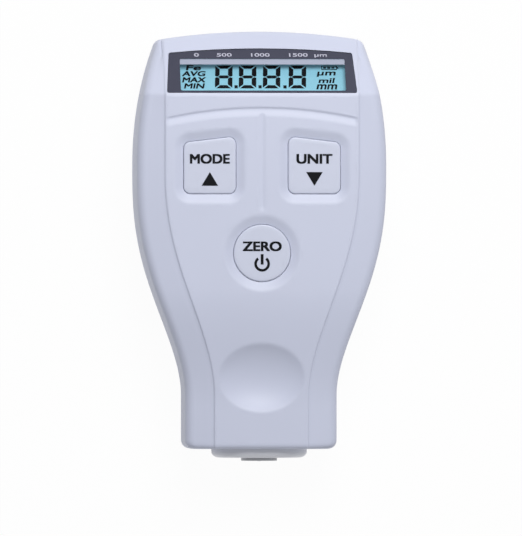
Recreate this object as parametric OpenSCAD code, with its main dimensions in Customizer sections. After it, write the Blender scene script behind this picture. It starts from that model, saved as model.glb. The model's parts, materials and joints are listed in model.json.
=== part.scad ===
// Pocket coating thickness gauge: two moulded half shells with a raised centre panel, a display
// head that slopes away from the front, three return-spring keys and a spring-loaded probe.
// It lies on its back: +Z out of the front, +Y towards the display, X across the body.
// The origin is under the middle of its length, on the back.

/* [Case] */
// Length from the crown of the display end to the probe tip
overall_l = 110; // [108:0.5:116]
// Width at the widest place
case_w = 65; // [64:0.5:70]
// Width at the corners of the display end
head_w = 53.4; // [52.6:0.2:56]
// Width at the probe end
neck_w = 40; // [39:0.5:43]
// Height of the flat front face
face_z = 26.6; // [26.2:0.1:28]
// Height of the front face at the probe end
neck_z = 23.5; // [23.2:0.1:25]
// Height of the parting line between the half shells
part_z = 9; // [8.4:0.1:9.6]
// Wall of the half shells
wall = 2.2; // [1.9:0.1:2.4]
// Rise of the crowned display end over its corners
crown = 2.2; // [1.4:0.1:2.8]
// Edge radius round the back
back_r = 4.5; // [3.5:0.1:5]
// Edge radius of the shoulder between side and front
shoulder_r = 2.5; // [1.5:0.1:3]
// Edge radius at both ends of the front
end_r = 1.2; // [0.8:0.1:1.4]
// Distance of the widest place from the display end
belly_from_top = 35; // [33:0.5:38]

/* [Centre panel] */
// Width of the raised panel at its widest place
panel_w = 50.6; // [49.8:0.2:51.6]
// Width of the raised panel at the probe end
panel_neck_w = 24.6; // [24:0.2:28]
// Height of the panel over the side bands
step_h = 0.4; // [0.3:0.05:0.6]
// Fall of the side bands towards the shoulders
band_fall = 0.8; // [0.4:0.1:1]
// Width of the grooves in the panel
groove_w = 1.2; // [0.8:0.1:1.4]
// Depth of the grooves in the panel
groove_d = 0.4; // [0.2:0.05:0.6]

/* [Display] */
// Angle at which the display head falls away from the front
slope_deg = 40; // [38:0.5:41]
// Distance of the display slope from the display end
slope_from_top = 16.1; // [15.8:0.1:17]
// Width of the display lens at its lower edge
lens_w = 48.4; // [47.4:0.2:49]
// Length of the display lens up the slope
lens_l = 14.9; // [14.4:0.1:15.2]
// Thickness of the display lens
lens_t = 1; // [0.8:0.1:1.2]
// Width of the window in the shell under the lens
window_w = 43.2; // [41:0.2:44]
// Thickness of the display glass
glass_t = 1.8; // [1.4:0.1:2]
// Thickness of the backlight
backlight_t = 2; // [1.6:0.1:2.2]

/* [Keys] */
// Width of the two upper keys
key_w = 13.4; // [12.6:0.2:14.2]
// Corner radius of the upper keys
key_r = 1.8; // [1.2:0.1:2.4]
// Distance between the upper keys' middles
key_pitch = 26.7; // [26.3:0.1:27.5]
// Radius of the round lower key
zero_r = 7.3; // [6.8:0.05:7.8]
// Height of the keys over the front face; below 0 they lie in their dishes
key_proud = -0.5; // [-0.6:0.1:0.8]
// Depth of the dishes round the keys
dish_d = 0.9; // [0.5:0.1:1.1]
// Width of the dishes round the keys
dish_w = 2.3; // [1.6:0.1:2.6]
// Travel of the keys
key_travel = 0.5; // [0.3:0.05:0.6]

/* [Thumb rest] */
// Width of the thumb rest
thumb_w = 22; // [19:0.5:22.5]
// Length of the thumb rest
thumb_l = 17.4; // [15:0.2:17.8]
// Depth of the thumb rest
thumb_d = 2.2; // [1.6:0.1:2.4]

/* [Battery bay] */
// Diameter of the cells
cell_d = 10.5; // [10:0.1:10.5]
// Length of the cells
cell_l = 44.5; // [43.5:0.1:45]
// Thickness of the back wall
back_wall = 2; // [1.9:0.1:2.2]
// Thickness of the battery door
door_t = 1.8; // [1.5:0.1:1.8]

/* [Probe] */
// Width of the probe collar
collar_w = 24.5; // [24:0.1:26]
// Depth of the probe collar from back to front
collar_t = 18; // [17.6:0.1:18.4]
// Height of the probe collar below the case
collar_h = 2.3; // [1.8:0.1:2.8]
// Radius of the sliding probe sleeve
sleeve_r = 4.6; // [4.2:0.05:4.7]
// Distance that the sleeve stands out of the collar
sleeve_out = 0.8; // [0.8:0.05:1.2]
// Distance that the tip stands out of the sleeve
tip_out = 0.2; // [0.2:0.05:0.4]
// Travel of the probe
probe_travel = 1; // [0.6:0.1:1]

/* [Hidden] */
$fn = 48;
eps = 0.01;

// Ends, and places measured from them
y_top = overall_l / 2;
y_tip = -overall_l / 2;
sleeve_y = y_tip + tip_out;
collar_y = sleeve_y + sleeve_out;
y_end = collar_y + collar_h;
belly_y = y_top - belly_from_top;
slope_y = y_top - slope_from_top;
corner_y = y_top - crown;

// Shape of the plan: bow of the head, and of the run from the belly to the neck
head_bow = 2.2;
neck_run = 58;
neck_bow = 1.4;
panel_bow = 1.22;
thumb_from_end = 18.3;
thumb_y = y_end + thumb_from_end;
side_draft = 0.6;
back_draft = 0.8;
step_w = 0.5;
groove_sag = 2.7;
groove_from_slope = 3.8;
groove_over = 4.3;
fall_y = y_top - 66;
fall_run = 30;

// Display, measured up the slope from its lower edge
lens_v = 0.4;
lens_taper = 0.8;
lens_sag = 1.5;
lens_clear = 0.1;
lens_under = 0.1;
pocket_d = lens_t + lens_under;
window_v = 1.3;
window_l = 12.3;
glass_v = 1;
glass_l = 13;
glass_margin = 1.1;
glass_w = window_w + 2 * glass_margin;
ledge_l = 2;
holder_t = 1;
holder_w = 1.4;
holder_gap = 0.15;
seat_clear = 0.1;
glass_back = wall + glass_t;
light_back = glass_back + backlight_t;
ribbon_t = 0.15;
ribbon_w = 18;

// Keys
key_x = key_pitch / 2;
key_y0 = y_top - 41.6;
key_y_in = y_top - 26.9;
key_y_out = y_top - 28.5;
key_mid_y = (key_y0 + key_y_in) / 2;
zero_y = y_top - 56.7;
key_top = face_z + key_proud;
key_clear = 0.2;
flange_w = 1;
flange_t = 1;
flange_z = face_z - wall - 0.2;
stem_r = 2;

// Main board and its switches
board_t = 1.6;
board_z = 16.6;
board_top = board_z + board_t;
board_w = 44;
board_neck_w = 27;
board_y1 = y_top - 21;
switch_w = 6;
switch_h = 2.2;
plunger_r = 1.6;
plunger_clear = 0.3;
plunger_sunk = 0.4;
plunger_top = board_top + switch_h + 0.8;
switch_well = plunger_sunk + key_travel + 0.2;

// Probe, on an axis that runs along Y
probe_z = 11.8;
neck_in = 1;
neck_clear = 0.15;
flange_l = 1.4;
flange_y = y_end + wall + 0.1;
tube_wall = 1.2;
chamber_r = 6.3;
tube_r = chamber_r + tube_wall;
bore_clear = 0.3;
stop_y = y_tip + 9;
sleeve_flange_r = 6;
sleeve_flange_l = 2;
sleeve_end_y = stop_y + sleeve_flange_l;
spring_min_l = 6.7;
spring_space = spring_min_l + probe_travel;
cap_y = sleeve_end_y + spring_space;
cap_plug_l = 0.3;
cap_l = 1.2;
tube_end_y = cap_y + cap_plug_l;
cap_end_y = tube_end_y + cap_l;
core_r = 1.3;
core_end_y = stop_y + 1;
core_clear = 0.02;
tip_h = 0.6;
coil_r = 3.1;
sleeve_bore_r = 3.3;
sleeve_nose = 1.5;
wire_r = 0.4;
coil_turns = 5;
lead_r = 0.7;
collar_round = 0.8;

// Battery bay
cell_gap = 0.6;
bay_clear = 0.4;
bay_wall = 1.4;
plate_t = 0.5;
plate_w = 8;
spring_l = 3.5;
nub_l = 0.8;
contact_r = 3.4;
contact_end_r = 2.2;
contact_t = 0.6;
nub_r = 1.9;
cell_x = (cell_d + cell_gap) / 2;
bay_half = cell_d + cell_gap / 2 + bay_clear;
bay_l = cell_l + spring_l + 2 * plate_t;
lead_gap = 0.3;
bay_from_top = 34;
bay_y0 = max(y_top - bay_from_top - bay_l, cap_end_y + 2 * (lead_r + lead_gap) + bay_wall);
bay_y1 = bay_y0 + bay_l;
lead_y = bay_y0 - bay_wall - lead_gap - lead_r;
cell_z = back_wall + 0.2 + cell_d / 2;
bay_top = cell_z + cell_d / 2 + bay_clear;
tail_w = 2;
tail_clear = 0.2;
board_over = 1.5;
board_y0 = bay_y0 - board_over;

// Battery door: hooks at its lower end, latch at its upper end
door_clear = 0.25;
hook_l = 1.8;
hook_t = 1;
hook_root = 2;
hook_mid_w = 3.4;
hook_side_w = 1.3;
ledge_y = bay_y0 + hook_l + 0.6;
door_y0 = ledge_y + door_clear;
door_y1 = bay_y1 - 1;
hook_z = back_wall + 0.15;
grip_n = 5;
grip_pitch = 1.6;
nail_r = 7;
nail_d = 0.9;

// Screws
screw_r = 1;
screw_clear = 0.1;
head_r = 2.2;
head_l = 1.5;
head_clear = 0.3;
head_z = 2.5;
case_screw_l = 12;
tower_r = 3.4;
boss_r = 2.8;
boss_gap = 0.1;
screw_in = 7;
screw_from_top = 31;
neck_screw_in = 6.6;
screw_from_end = 14.7;
case_screws_at = [
    [case_w / 2 - screw_in, y_top - screw_from_top],
    [neck_w / 2 - neck_screw_in, y_end + screw_from_end]
];
post_in = 2.4;
neck_post_in = 1.5;
neck_post_from_top = 69;
board_screws_at = [
    [board_w / 2 - post_in, board_y1 - post_in],
    [board_neck_w / 2 - neck_post_in, y_top - neck_post_from_top]
];
board_screw_l = 5;
post_r = 2;
lip_clear = 0.2;
lip_t = 1;
lip_h = 1.5;

// Smooth step from 0 to 1
function ease(t) = t <= 0 ? 0 : t >= 1 ? 1 : t * t * (3 - 2 * t);

// Drop of a rounded edge of radius r at distance d from the end
function edge_drop(r, d) = d >= r ? 0 : r - sqrt(r * r - (r - d) * (r - d));

// Half width of the outline
function half_w(y) = y > belly_y
    ? case_w / 2 - (case_w - head_w) / 2 * pow((y - belly_y) / (corner_y - belly_y), head_bow)
    : case_w / 2 - (case_w - neck_w) / 2 * ease(pow((belly_y - y) / neck_run, neck_bow));

// Half width of the raised panel
function panel_half(y) = y > belly_y
    ? panel_w / 2 - step_w
    : (panel_w - (panel_w - panel_neck_w) * ease(pow((belly_y - y) / neck_run, panel_bow))) / 2 - step_w;

// Height of the front, or of a surface inset by w under it
function flat_z(y) = face_z - (face_z - neck_z) * ease((fall_y - y) / fall_run);
function front_z(y, w = 0) =
    min(flat_z(y) - w, face_z - (y - slope_y) * tan(slope_deg) - w / cos(slope_deg));

// A row across the body keeps the bow of the display end
function row_sag(v) = crown * ease((v - belly_y) / (y_top - belly_y));
function row_half(v, w) =
    let (d = min(y_top - w - v, v - y_end - w))
    half_w(v - row_sag(v)) - w - (w == 0 ? edge_drop(end_r, d) : 0);
function row_y(v, x) = v - row_sag(v) * pow(x / half_w(v - row_sag(v)), 2);

// Half of a row of the front shell's outside, from the parting line to the middle
function front_half(v) =
    let (
        hw = row_half(v, 0),
        pw = min(panel_half(v), hw - 1.6),
        drop = edge_drop(end_r, min(y_top - v, v - y_end)),
        r = min(shoulder_r, (hw - pw - step_w) * 0.7),
        xs = hw - side_draft,
        ys = row_y(v, xs),
        zb = front_z(ys) - drop - step_h - band_fall
    )
    concat(
        [[hw, part_z]],
        [for (a = [0:30:90]) [xs - r + r * cos(a), max(part_z + 0.3, zb - r) + r * sin(a)]],
        [[pw + step_w, front_z(row_y(v, pw)) - drop - step_h]],
        [for (f = [1, 0.6, 0]) [pw * f, front_z(row_y(v, pw * f)) - drop]]
    );

// Half of a row of the front shell's inside
function front_inner_half(v) =
    let (
        hw = row_half(v, wall),
        pw = min(panel_half(v), hw - 1.6),
        r = 1.5,
        xs = hw - side_draft,
        zb = max(part_z + r + 0.2, front_z(row_y(v, xs), wall) - step_h - band_fall)
    )
    [
        [hw, part_z - 1], [xs, zb - r], [xs - r * 0.3, zb - r * 0.3], [xs - r, zb],
        [pw, front_z(row_y(v, pw), wall)], [pw * 0.5, front_z(row_y(v, pw * 0.5), wall)],
        [0, front_z(v, wall)]
    ];

// Half of a row of the rear shell's outside, and of its inside
function rear_half(v) =
    let (
        hw = row_half(v, 0),
        low = edge_drop(back_r, min(y_top - v, v - y_end)),
        xs = hw - back_draft
    )
    concat(
        [[hw, part_z]],
        [for (a = [0:22.5:90]) [xs - back_r + back_r * cos(a), back_r - (back_r - low) * sin(a)]],
        [[(xs - back_r) / 2, low], [0, low]]
    );
function rear_inner_half(v) =
    let (
        hw = row_half(v, wall),
        xs = hw - back_draft,
        r = back_r - wall * 0.5
    )
    [
        [hw, part_z + 1], [xs, back_wall + r], [xs - r * 0.3, back_wall + r * 0.3],
        [xs - r, back_wall], [(xs - r) / 2, back_wall], [0, back_wall]
    ];

// Stations along the body, close together where the ends are rounded
function stations(r, w, steps) = concat(
    [for (a = [0:22.5:67.5]) y_end + w + r * (1 - cos(a))],
    [for (i = [0:steps]) y_end + w + r + (slope_y - y_end - w - r) * i / steps],
    [for (i = [1:4]) slope_y + (y_top - w - r - slope_y) * i / 4],
    [for (a = [67.5:-22.5:0]) y_top - w - r * (1 - cos(a))]
);
function inner_stations(steps) = concat(
    [for (i = [0:steps]) y_end + wall + (slope_y - y_end - wall) * i / steps],
    [for (i = [1:5]) slope_y + (y_top - wall - slope_y) * i / 5]
);

// Whole row: the half and its mirror image, and mates on the open side for the last k points
function row(h, k, z, v) =
    let (n = len(h))
    [for (p = concat(
        [for (p = h) [-p[0], p[1]]],
        [for (i = [n - 2:-1:0]) h[i]],
        [for (i = [n - k:n - 1]) [h[i][0], z]],
        [for (i = [n - 2:-1:n - k]) [-h[i][0], z]]
    )) [p[0], row_y(v, p[0]), p[1]]];

// End face of a lofted shape: corner fans at both sides and upright strips between
function cap_faces(n, k) =
    let (
        last = 2 * n - 2,
        low = function(i) 2 * n - 1 + (i < 0 ? 2 * k - 1 + i : i)
    )
    concat(
        [for (i = [1:n - k - 1]) [0, i, i + 1]],
        [[0, n - k, low(-1)]],
        [for (i = [0:k - 2]) each [
            [n - k + i, n - k + i + 1, low(-i - 2)],
            [n - k + i, low(-i - 2), low(-i - 1)]
        ]],
        [for (i = [0:k - 2]) each [
            [last - (n - k + i), low(i + 1), last - (n - k + i) - 1],
            [last - (n - k + i), low(i), low(i + 1)]
        ]],
        [[last, low(0), last - (n - k)]],
        [for (i = [1:n - k - 1]) [last, last - i - 1, last - i]]
    );

// Loft through rows of equal length, closed at both ends
module loft(halves, vs, k, z, up) {
    n = len(halves[0]);
    m = 2 * n - 1 + 2 * k - 1;
    points = [for (i = [0:len(vs) - 1]) each row(halves[i], k, z, vs[i])];
    sides = [for (j = [0:len(vs) - 2]) for (i = [0:m - 1])
        let (a = j * m + i, b = j * m + (i + 1) % m)
        each [[a, b, b + m], [a, b + m, a + m]]];
    first = [for (f = cap_faces(n, k)) [f[0], f[2], f[1]]];
    last = [for (f = cap_faces(n, k)) [for (p = f) p + (len(vs) - 1) * m]];
    all = concat(sides, first, last);
    polyhedron(points, up ? [for (f = all) [f[0], f[2], f[1]]] : all, convexity = 6);
}

// Outline of the body inset by w
function outline(w) =
    let (
        steps = 24,
        vs = [for (i = [0:steps]) y_end + w + (y_top - y_end - 2 * w) * i / steps],
        top = y_top - w
    )
    concat(
        [for (v = vs) [row_half(v, w), row_y(v, row_half(v, w))]],
        [for (f = [0.75:-0.25:-0.75])
            let (x = row_half(top, w) * f)
            [x, row_y(top, x)]],
        [for (i = [steps:-1:0]) [-row_half(vs[i], w), row_y(vs[i], row_half(vs[i], w))]]
    );

// Point of the display slope: v up the slope and n out of it
function slope_point(v, n) = [
    slope_y + v * cos(slope_deg) + n * sin(slope_deg),
    face_z - v * sin(slope_deg) + n * cos(slope_deg)
];

module on_slope() {
    translate([0, slope_y, face_z])
        rotate([-slope_deg, 0, 0])
            children();
}

module both_sides() {
    children();
    mirror([1, 0, 0])
        children();
}

// Lies along Y at the probe's height, from y0 on
module on_probe(y0) {
    translate([0, y0, probe_z])
        rotate([-90, 0, 0])
            children();
}

// Lens outline on the slope: straight lower edge, tapered sides and an arched upper edge
module lens_2d(grow) {
    half = lens_w / 2;
    arch = (pow(half - lens_taper, 2) + lens_sag * lens_sag) / (2 * lens_sag);
    intersection() {
        polygon([
            [-half - grow, lens_v - grow], [half + grow, lens_v - grow],
            [half - lens_taper + grow, lens_v + lens_l + grow],
            [-half + lens_taper - grow, lens_v + lens_l + grow]
        ]);
        translate([0, lens_v + lens_l + grow - arch])
            circle(arch, $fn = 180);
    }
}

// Outline of an upper key about its own middle; its top edge falls towards the side of the body
module key_2d(grow) {
    half = key_w / 2 - key_r;
    hull()
        for (p = [
            [-half, key_y0 + key_r], [half, key_y0 + key_r],
            [half, key_y_out - key_r], [-half, key_y_in - key_r]
        ])
            translate([p[0], p[1] - key_mid_y])
                circle(key_r + grow, $fn = 24);
}

module stadium(w, t) {
    square([w - t, t], center = true);
    for (s = [-1, 1])
        translate([s * (w - t) / 2, 0])
            circle(t / 2, $fn = 64);
}

// Ellipsoid that scoops the thumb rest, grown by g
module thumb_scoop(g) {
    scoop_h = 8;
    cut = sqrt(1 - pow((scoop_h - thumb_d) / scoop_h, 2));
    translate([0, thumb_y, flat_z(thumb_y) - thumb_d + scoop_h])
        resize([thumb_w / cut + 2 * g, thumb_l / cut + 2 * g, 2 * (scoop_h + g)])
            sphere(scoop_h, $fn = 32);
}

module front_cavity() {
    vs = inner_stations(16);
    difference() {
        loft([for (v = vs) front_inner_half(v)], vs, 3, part_z - 1, true);
        thumb_scoop(wall - 0.4);
    }
}

module panel_grooves() {
    half = panel_w / 2 - 1;
    crown_y = slope_y - groove_from_slope;
    bow = (half * half + groove_sag * groove_sag) / (2 * groove_sag);
    translate([0, 0, face_z - groove_d])
        linear_extrude(groove_d + 1)
            intersection() {
                translate([0, crown_y - bow])
                    difference() {
                        circle(bow + groove_w / 2, $fn = 180);
                        circle(bow - groove_w / 2, $fn = 180);
                    }
                translate([-half, crown_y - 2 * groove_sag])
                    square([2 * half, 3 * groove_sag]);
            }
    translate([-groove_w / 2, key_y0 - groove_over, face_z - groove_d])
        cube([groove_w, crown_y - 1 - key_y0 + groove_over, groove_d + 1]);
}

module key_openings() {
    for (s = [1, -1])
        mirror([s < 0 ? 1 : 0, 0, 0])
            translate([key_x, key_mid_y, 0]) {
                hull() {
                    translate([0, 0, face_z - dish_d])
                        linear_extrude(eps)
                            key_2d(key_clear);
                    translate([0, 0, face_z])
                        linear_extrude(eps)
                            key_2d(key_clear + dish_w);
                }
                translate([0, 0, flange_z - 1])
                    linear_extrude(wall + 2)
                        key_2d(key_clear);
            }
    translate([0, zero_y, face_z - dish_d])
        cylinder(dish_d + eps, zero_r + key_clear, zero_r + key_clear + dish_w);
    translate([0, zero_y, flange_z - 1])
        cylinder(wall + 2, r = zero_r + key_clear);
}

module probe_opening() {
    on_probe(y_end - 1)
        linear_extrude(wall + 2)
            stadium(collar_w - 2 * neck_in + 2 * neck_clear, collar_t - 2 * neck_in + 2 * neck_clear);
}

module boss(at, z0, z1, r) {
    translate([at[0], at[1], z0])
        cylinder(z1 - z0, r = r);
}

// Flat seat for the display glass on the inside of the slope
module glass_seat() {
    translate([-glass_w / 2 - holder_gap, glass_v - holder_gap, -light_back])
        cube([glass_w + 2 * holder_gap, glass_l + 2 * holder_gap, light_back - wall + seat_clear]);
}

module front_shell() {
    vs = stations(end_r, 0, 20);
    color("whitesmoke")
        difference() {
            union() {
                difference() {
                    loft([for (v = vs) front_half(v)], vs, 4, part_z, true);
                    front_cavity();
                }
                both_sides() {
                    for (p = case_screws_at)
                        boss(p, part_z + boss_gap, front_z(p[1], wall) - step_h, boss_r);
                    for (p = board_screws_at)
                        boss(p, board_top, front_z(p[1], wall) + eps, post_r);
                }
            }
            both_sides() {
                for (p = case_screws_at)
                    boss(p, part_z - 1, head_z + head_l + case_screw_l + 1, screw_r + screw_clear);
                for (p = board_screws_at)
                    boss(p, board_z, board_z + board_screw_l + 0.5, screw_r + screw_clear);
            }
            key_openings();
            panel_grooves();
            thumb_scoop(0);
            on_slope() {
                translate([0, 0, -pocket_d])
                    linear_extrude(pocket_d + 1)
                        lens_2d(lens_clear);
                translate([-window_w / 2, window_v, -wall - 1])
                    cube([window_w, window_l, wall + 1]);
                glass_seat();
            }
            probe_opening();
        }
}

module rear_lip() {
    translate([0, 0, part_z - 3])
        linear_extrude(3 + lip_h)
            difference() {
                polygon(outline(wall + lip_clear));
                polygon(outline(wall + lip_clear + lip_t));
                translate([-collar_w / 2 - 2, y_end])
                    square([collar_w + 4, wall + 6]);
            }
    translate([0, 0, part_z - 3])
        linear_extrude(2.5)
            difference() {
                polygon(outline(wall - 0.5));
                polygon(outline(wall + lip_clear + lip_t));
                translate([-collar_w / 2 - 2, y_end])
                    square([collar_w + 4, wall + 6]);
            }
}

module battery_tub() {
    translate([-bay_half - bay_wall, bay_y0 - bay_wall, back_wall - eps])
        cube([2 * (bay_half + bay_wall), bay_l + 2 * bay_wall, bay_top + bay_wall - back_wall]);
}

module bay_hollow() {
    translate([-bay_half, bay_y0, back_wall])
        cube([2 * bay_half, bay_l, bay_top - back_wall]);
    translate([-bay_half, ledge_y, -1])
        cube([2 * bay_half, door_y1 + door_clear - ledge_y, back_wall + 2]);
    for (s = [-1, 1], y = [bay_y0, bay_y1 - plate_t - tail_clear])
        translate([s * cell_x - tail_w / 2 - tail_clear, y, bay_top - 1])
            cube([tail_w + 2 * tail_clear, plate_t + tail_clear, bay_wall + 2]);
}

module rear_shell() {
    vs = stations(back_r, 0, 18);
    inner = inner_stations(16);
    rib_y = stop_y + 5;
    rib_t = 1.5;
    color("whitesmoke")
        difference() {
            union() {
                difference() {
                    loft([for (v = vs) rear_half(v)], vs, 3, part_z, false);
                    loft([for (v = inner) rear_inner_half(v)], inner, 3, part_z + 1, false);
                }
                rear_lip();
                battery_tub();
                translate([-tube_r - 2, rib_y, back_wall - eps])
                    cube([2 * tube_r + 4, rib_t, probe_z - back_wall]);
                both_sides()
                    for (p = case_screws_at)
                        boss(p, back_wall - eps, part_z, tower_r);
            }
            bay_hollow();
            on_probe(rib_y - 1)
                cylinder(rib_t + 2, r = tube_r + 0.1);
            both_sides()
                for (p = case_screws_at) {
                    boss(p, -1, part_z + 1, screw_r + screw_clear);
                    boss(p, -1, head_z + head_l, head_r + head_clear);
                }
            translate([0, door_y1 + door_clear + 2.5, nail_d - nail_r])
                sphere(nail_r);
            probe_opening();
        }
}

module battery_door() {
    half = bay_half - door_clear;
    color("whitesmoke")
        difference() {
            union() {
                translate([-half, door_y0, 0])
                    cube([2 * half, door_y1 - door_y0, door_t]);
                for (x = [-half + hook_side_w / 2, 0, half - hook_side_w / 2]) {
                    w = x == 0 ? hook_mid_w : hook_side_w;
                    translate([x - w / 2, door_y0 - hook_l, hook_z])
                        cube([w, hook_l + hook_root, hook_t]);
                    translate([x - w / 2, door_y0, door_t - eps])
                        cube([w, hook_root, hook_z + hook_t - door_t]);
                }
            }
            for (i = [0:grip_n - 1])
                translate([-half / 2, door_y1 - 4 - i * grip_pitch, -eps])
                    cube([half, 0.7, 0.4]);
        }
}

module display_lens() {
    color([0.3, 0.31, 0.37])
        on_slope()
            translate([0, 0, -pocket_d])
                linear_extrude(lens_t)
                    lens_2d(0);
}

module lcd_glass() {
    color("skyblue")
        on_slope()
            translate([-glass_w / 2, glass_v, -glass_back])
                cube([glass_w, glass_l, glass_t]);
}

module lcd_backlight() {
    color("lightcyan")
        on_slope()
            translate([-glass_w / 2, glass_v + ledge_l, -light_back])
                cube([glass_w, glass_l - ledge_l, backlight_t]);
}

module lcd_holder() {
    half = glass_w / 2 + holder_gap;
    v1 = glass_v + glass_l + holder_gap;
    depth = backlight_t + glass_t + holder_t;
    color("gainsboro")
        on_slope()
            difference() {
                translate([-half - holder_w, glass_v + ledge_l, -wall - depth])
                    cube([2 * (half + holder_w), v1 + holder_w - glass_v - ledge_l, depth]);
                translate([-half, glass_v, -light_back])
                    cube([2 * half, v1 - glass_v, depth]);
            }
}

module lcd_ribbon() {
    lift = slope_point(glass_v + ledge_l - 0.2, -glass_back);
    lift_in = slope_point(glass_v + ledge_l - 0.2, -glass_back - ribbon_t);
    bend = slope_point(glass_v, -glass_back);
    bend_in = slope_point(glass_v, -glass_back - ribbon_t);
    down_y = board_y1 - 1.5;
    foot_y = down_y - 2.5;
    color("darkgoldenrod")
        translate([-ribbon_w / 2, 0, 0])
            rotate([90, 0, 90])
                linear_extrude(ribbon_w)
                    polygon([
                        lift, bend, [down_y, board_top + ribbon_t], [foot_y, board_top + ribbon_t],
                        [foot_y, board_top], [down_y, board_top], bend_in, lift_in
                    ]);
}

// Key with a flange behind the shell and a stem down to its switch
module key_parts() {
    translate([0, 0, flange_z - flange_t - eps])
        linear_extrude(key_top - flange_z + flange_t + eps)
            children(0);
    translate([0, 0, flange_z - flange_t])
        linear_extrude(flange_t)
            children(1);
    translate([0, 0, plunger_top])
        cylinder(flange_z - flange_t - plunger_top + eps, r = stem_r);
}

module upper_key() {
    key_parts() {
        key_2d(0);
        key_2d(flange_w);
    }
}

module mode_key() {
    color("white")
        mirror([1, 0, 0])
            translate([key_x, key_mid_y, 0])
                upper_key();
}

module unit_key() {
    color("white")
        translate([key_x, key_mid_y, 0])
            upper_key();
}

module zero_key() {
    color("white")
        translate([0, zero_y, 0])
            key_parts() {
                circle(zero_r);
                circle(zero_r + flange_w);
            }
}

module plunger(x, y) {
    color("dimgray")
        translate([x, y, board_top + switch_h - plunger_sunk])
            cylinder(plunger_top - board_top - switch_h + plunger_sunk, r = plunger_r);
}

module mode_plunger() plunger(-key_x, key_mid_y);
module unit_plunger() plunger(key_x, key_mid_y);
module zero_plunger() plunger(0, zero_y);

module tact_switches() {
    color("silver")
        for (p = [[-key_x, key_mid_y], [key_x, key_mid_y], [0, zero_y]])
            translate([p[0], p[1], board_top])
                difference() {
                    translate([-switch_w / 2, -switch_w / 2, 0])
                        cube([switch_w, switch_w, switch_h]);
                    translate([0, 0, switch_h - switch_well])
                        cylinder(switch_well + 1, r = plunger_r + plunger_clear);
                }
}

module main_board() {
    waist_y = zero_y - 1;
    taper_y = waist_y - 10;
    color("seagreen")
        difference() {
            translate([0, 0, board_z])
                linear_extrude(board_t)
                    polygon([
                        [board_w / 2, board_y1], [board_w / 2, waist_y], [board_neck_w / 2, taper_y],
                        [board_neck_w / 2, board_y0], [-board_neck_w / 2, board_y0],
                        [-board_neck_w / 2, taper_y], [-board_w / 2, waist_y], [-board_w / 2, board_y1]
                    ]);
            both_sides()
                for (p = board_screws_at)
                    boss(p, board_z - 1, board_top + 1, screw_r + screw_clear);
        }
}

module board_chips() {
    chip_h = 1.2;
    color("black")
        for (c = [[0, key_mid_y, 9, 9], [0, zero_y - 11.5, 5, 4], [-board_w / 2 + 5, zero_y + 5, 4, 6]])
            translate([c[0] - c[2] / 2, c[1] - c[3] / 2, board_top])
                cube([c[2], c[3], chip_h]);
}

module buzzer() {
    buzzer_r = 4;
    buzzer_h = 3.8;
    color("black")
        translate([bay_half + bay_wall + 0.5 + buzzer_r, key_mid_y - 6, board_z - buzzer_h])
            difference() {
                cylinder(buzzer_h, r = buzzer_r);
                translate([0, 0, -1])
                    cylinder(2, r = 0.8);
            }
}

// Lower end of a cell's place; the cells lie head to tail
function cell_y0(side) = bay_y0 + plate_t + (side < 0 ? spring_l : 0);

module battery_cells() {
    color("goldenrod")
        for (s = [-1, 1])
            translate([s * cell_x, cell_y0(s) + (s > 0 ? cell_l : 0), cell_z])
                rotate([s < 0 ? -90 : 90, 0, 0]) {
                    cylinder(cell_l - nub_l, r = cell_d / 2);
                    cylinder(cell_l, r = nub_r);
                }
}

module battery_springs() {
    color("silver")
        for (s = [-1, 1])
            translate([s * cell_x, s < 0 ? bay_y0 + plate_t : bay_y1 - plate_t, cell_z])
                rotate([s < 0 ? -90 : 90, 0, 0])
                    difference() {
                        cylinder(spring_l, r1 = contact_r, r2 = contact_end_r);
                        translate([0, 0, -eps])
                            cylinder(spring_l + 2 * eps, r1 = contact_r - contact_t, r2 = contact_end_r - contact_t);
                    }
}

module battery_plates() {
    color("silver")
        for (s = [-1, 1], y = [bay_y0, bay_y1 - plate_t]) {
            translate([s * cell_x - plate_w / 2, y, cell_z - plate_w / 2])
                cube([plate_w, plate_t, plate_w]);
            translate([s * cell_x - tail_w / 2, y, cell_z])
                cube([tail_w, plate_t, board_z - cell_z]);
        }
}

// Collar outside the case, neck in the end wall, flange behind it and the tube of the probe
module probe_holder() {
    color([0.66, 0.67, 0.72])
        difference() {
            union() {
                hull() {
                    on_probe(collar_y)
                        linear_extrude(eps)
                            stadium(collar_w - 2 * collar_round, collar_t - 2 * collar_round);
                    on_probe(collar_y + collar_round)
                        linear_extrude(collar_h - collar_round)
                            stadium(collar_w, collar_t);
                }
                on_probe(y_end - eps)
                    linear_extrude(flange_y - y_end + 2 * eps)
                        stadium(collar_w - 2 * neck_in, collar_t - 2 * neck_in);
                on_probe(flange_y)
                    linear_extrude(flange_l)
                        stadium(collar_w + 0.6, collar_t + 0.6);
                on_probe(flange_y)
                    cylinder(tube_end_y - flange_y, r = tube_r);
            }
            on_probe(collar_y - 1)
                cylinder(stop_y - collar_y + 2, r = sleeve_r + bore_clear);
            on_probe(stop_y)
                cylinder(tube_end_y - stop_y + 1, r = chamber_r);
        }
}

module probe_cap() {
    color("gray")
        difference() {
            union() {
                on_probe(cap_y)
                    cylinder(cap_plug_l + eps, r = chamber_r - 0.1);
                on_probe(tube_end_y)
                    cylinder(cap_l, r = tube_r);
            }
            on_probe(cap_y - 1)
                cylinder(cap_l + cap_plug_l + 2, r = lead_r + 0.1);
        }
}

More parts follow.
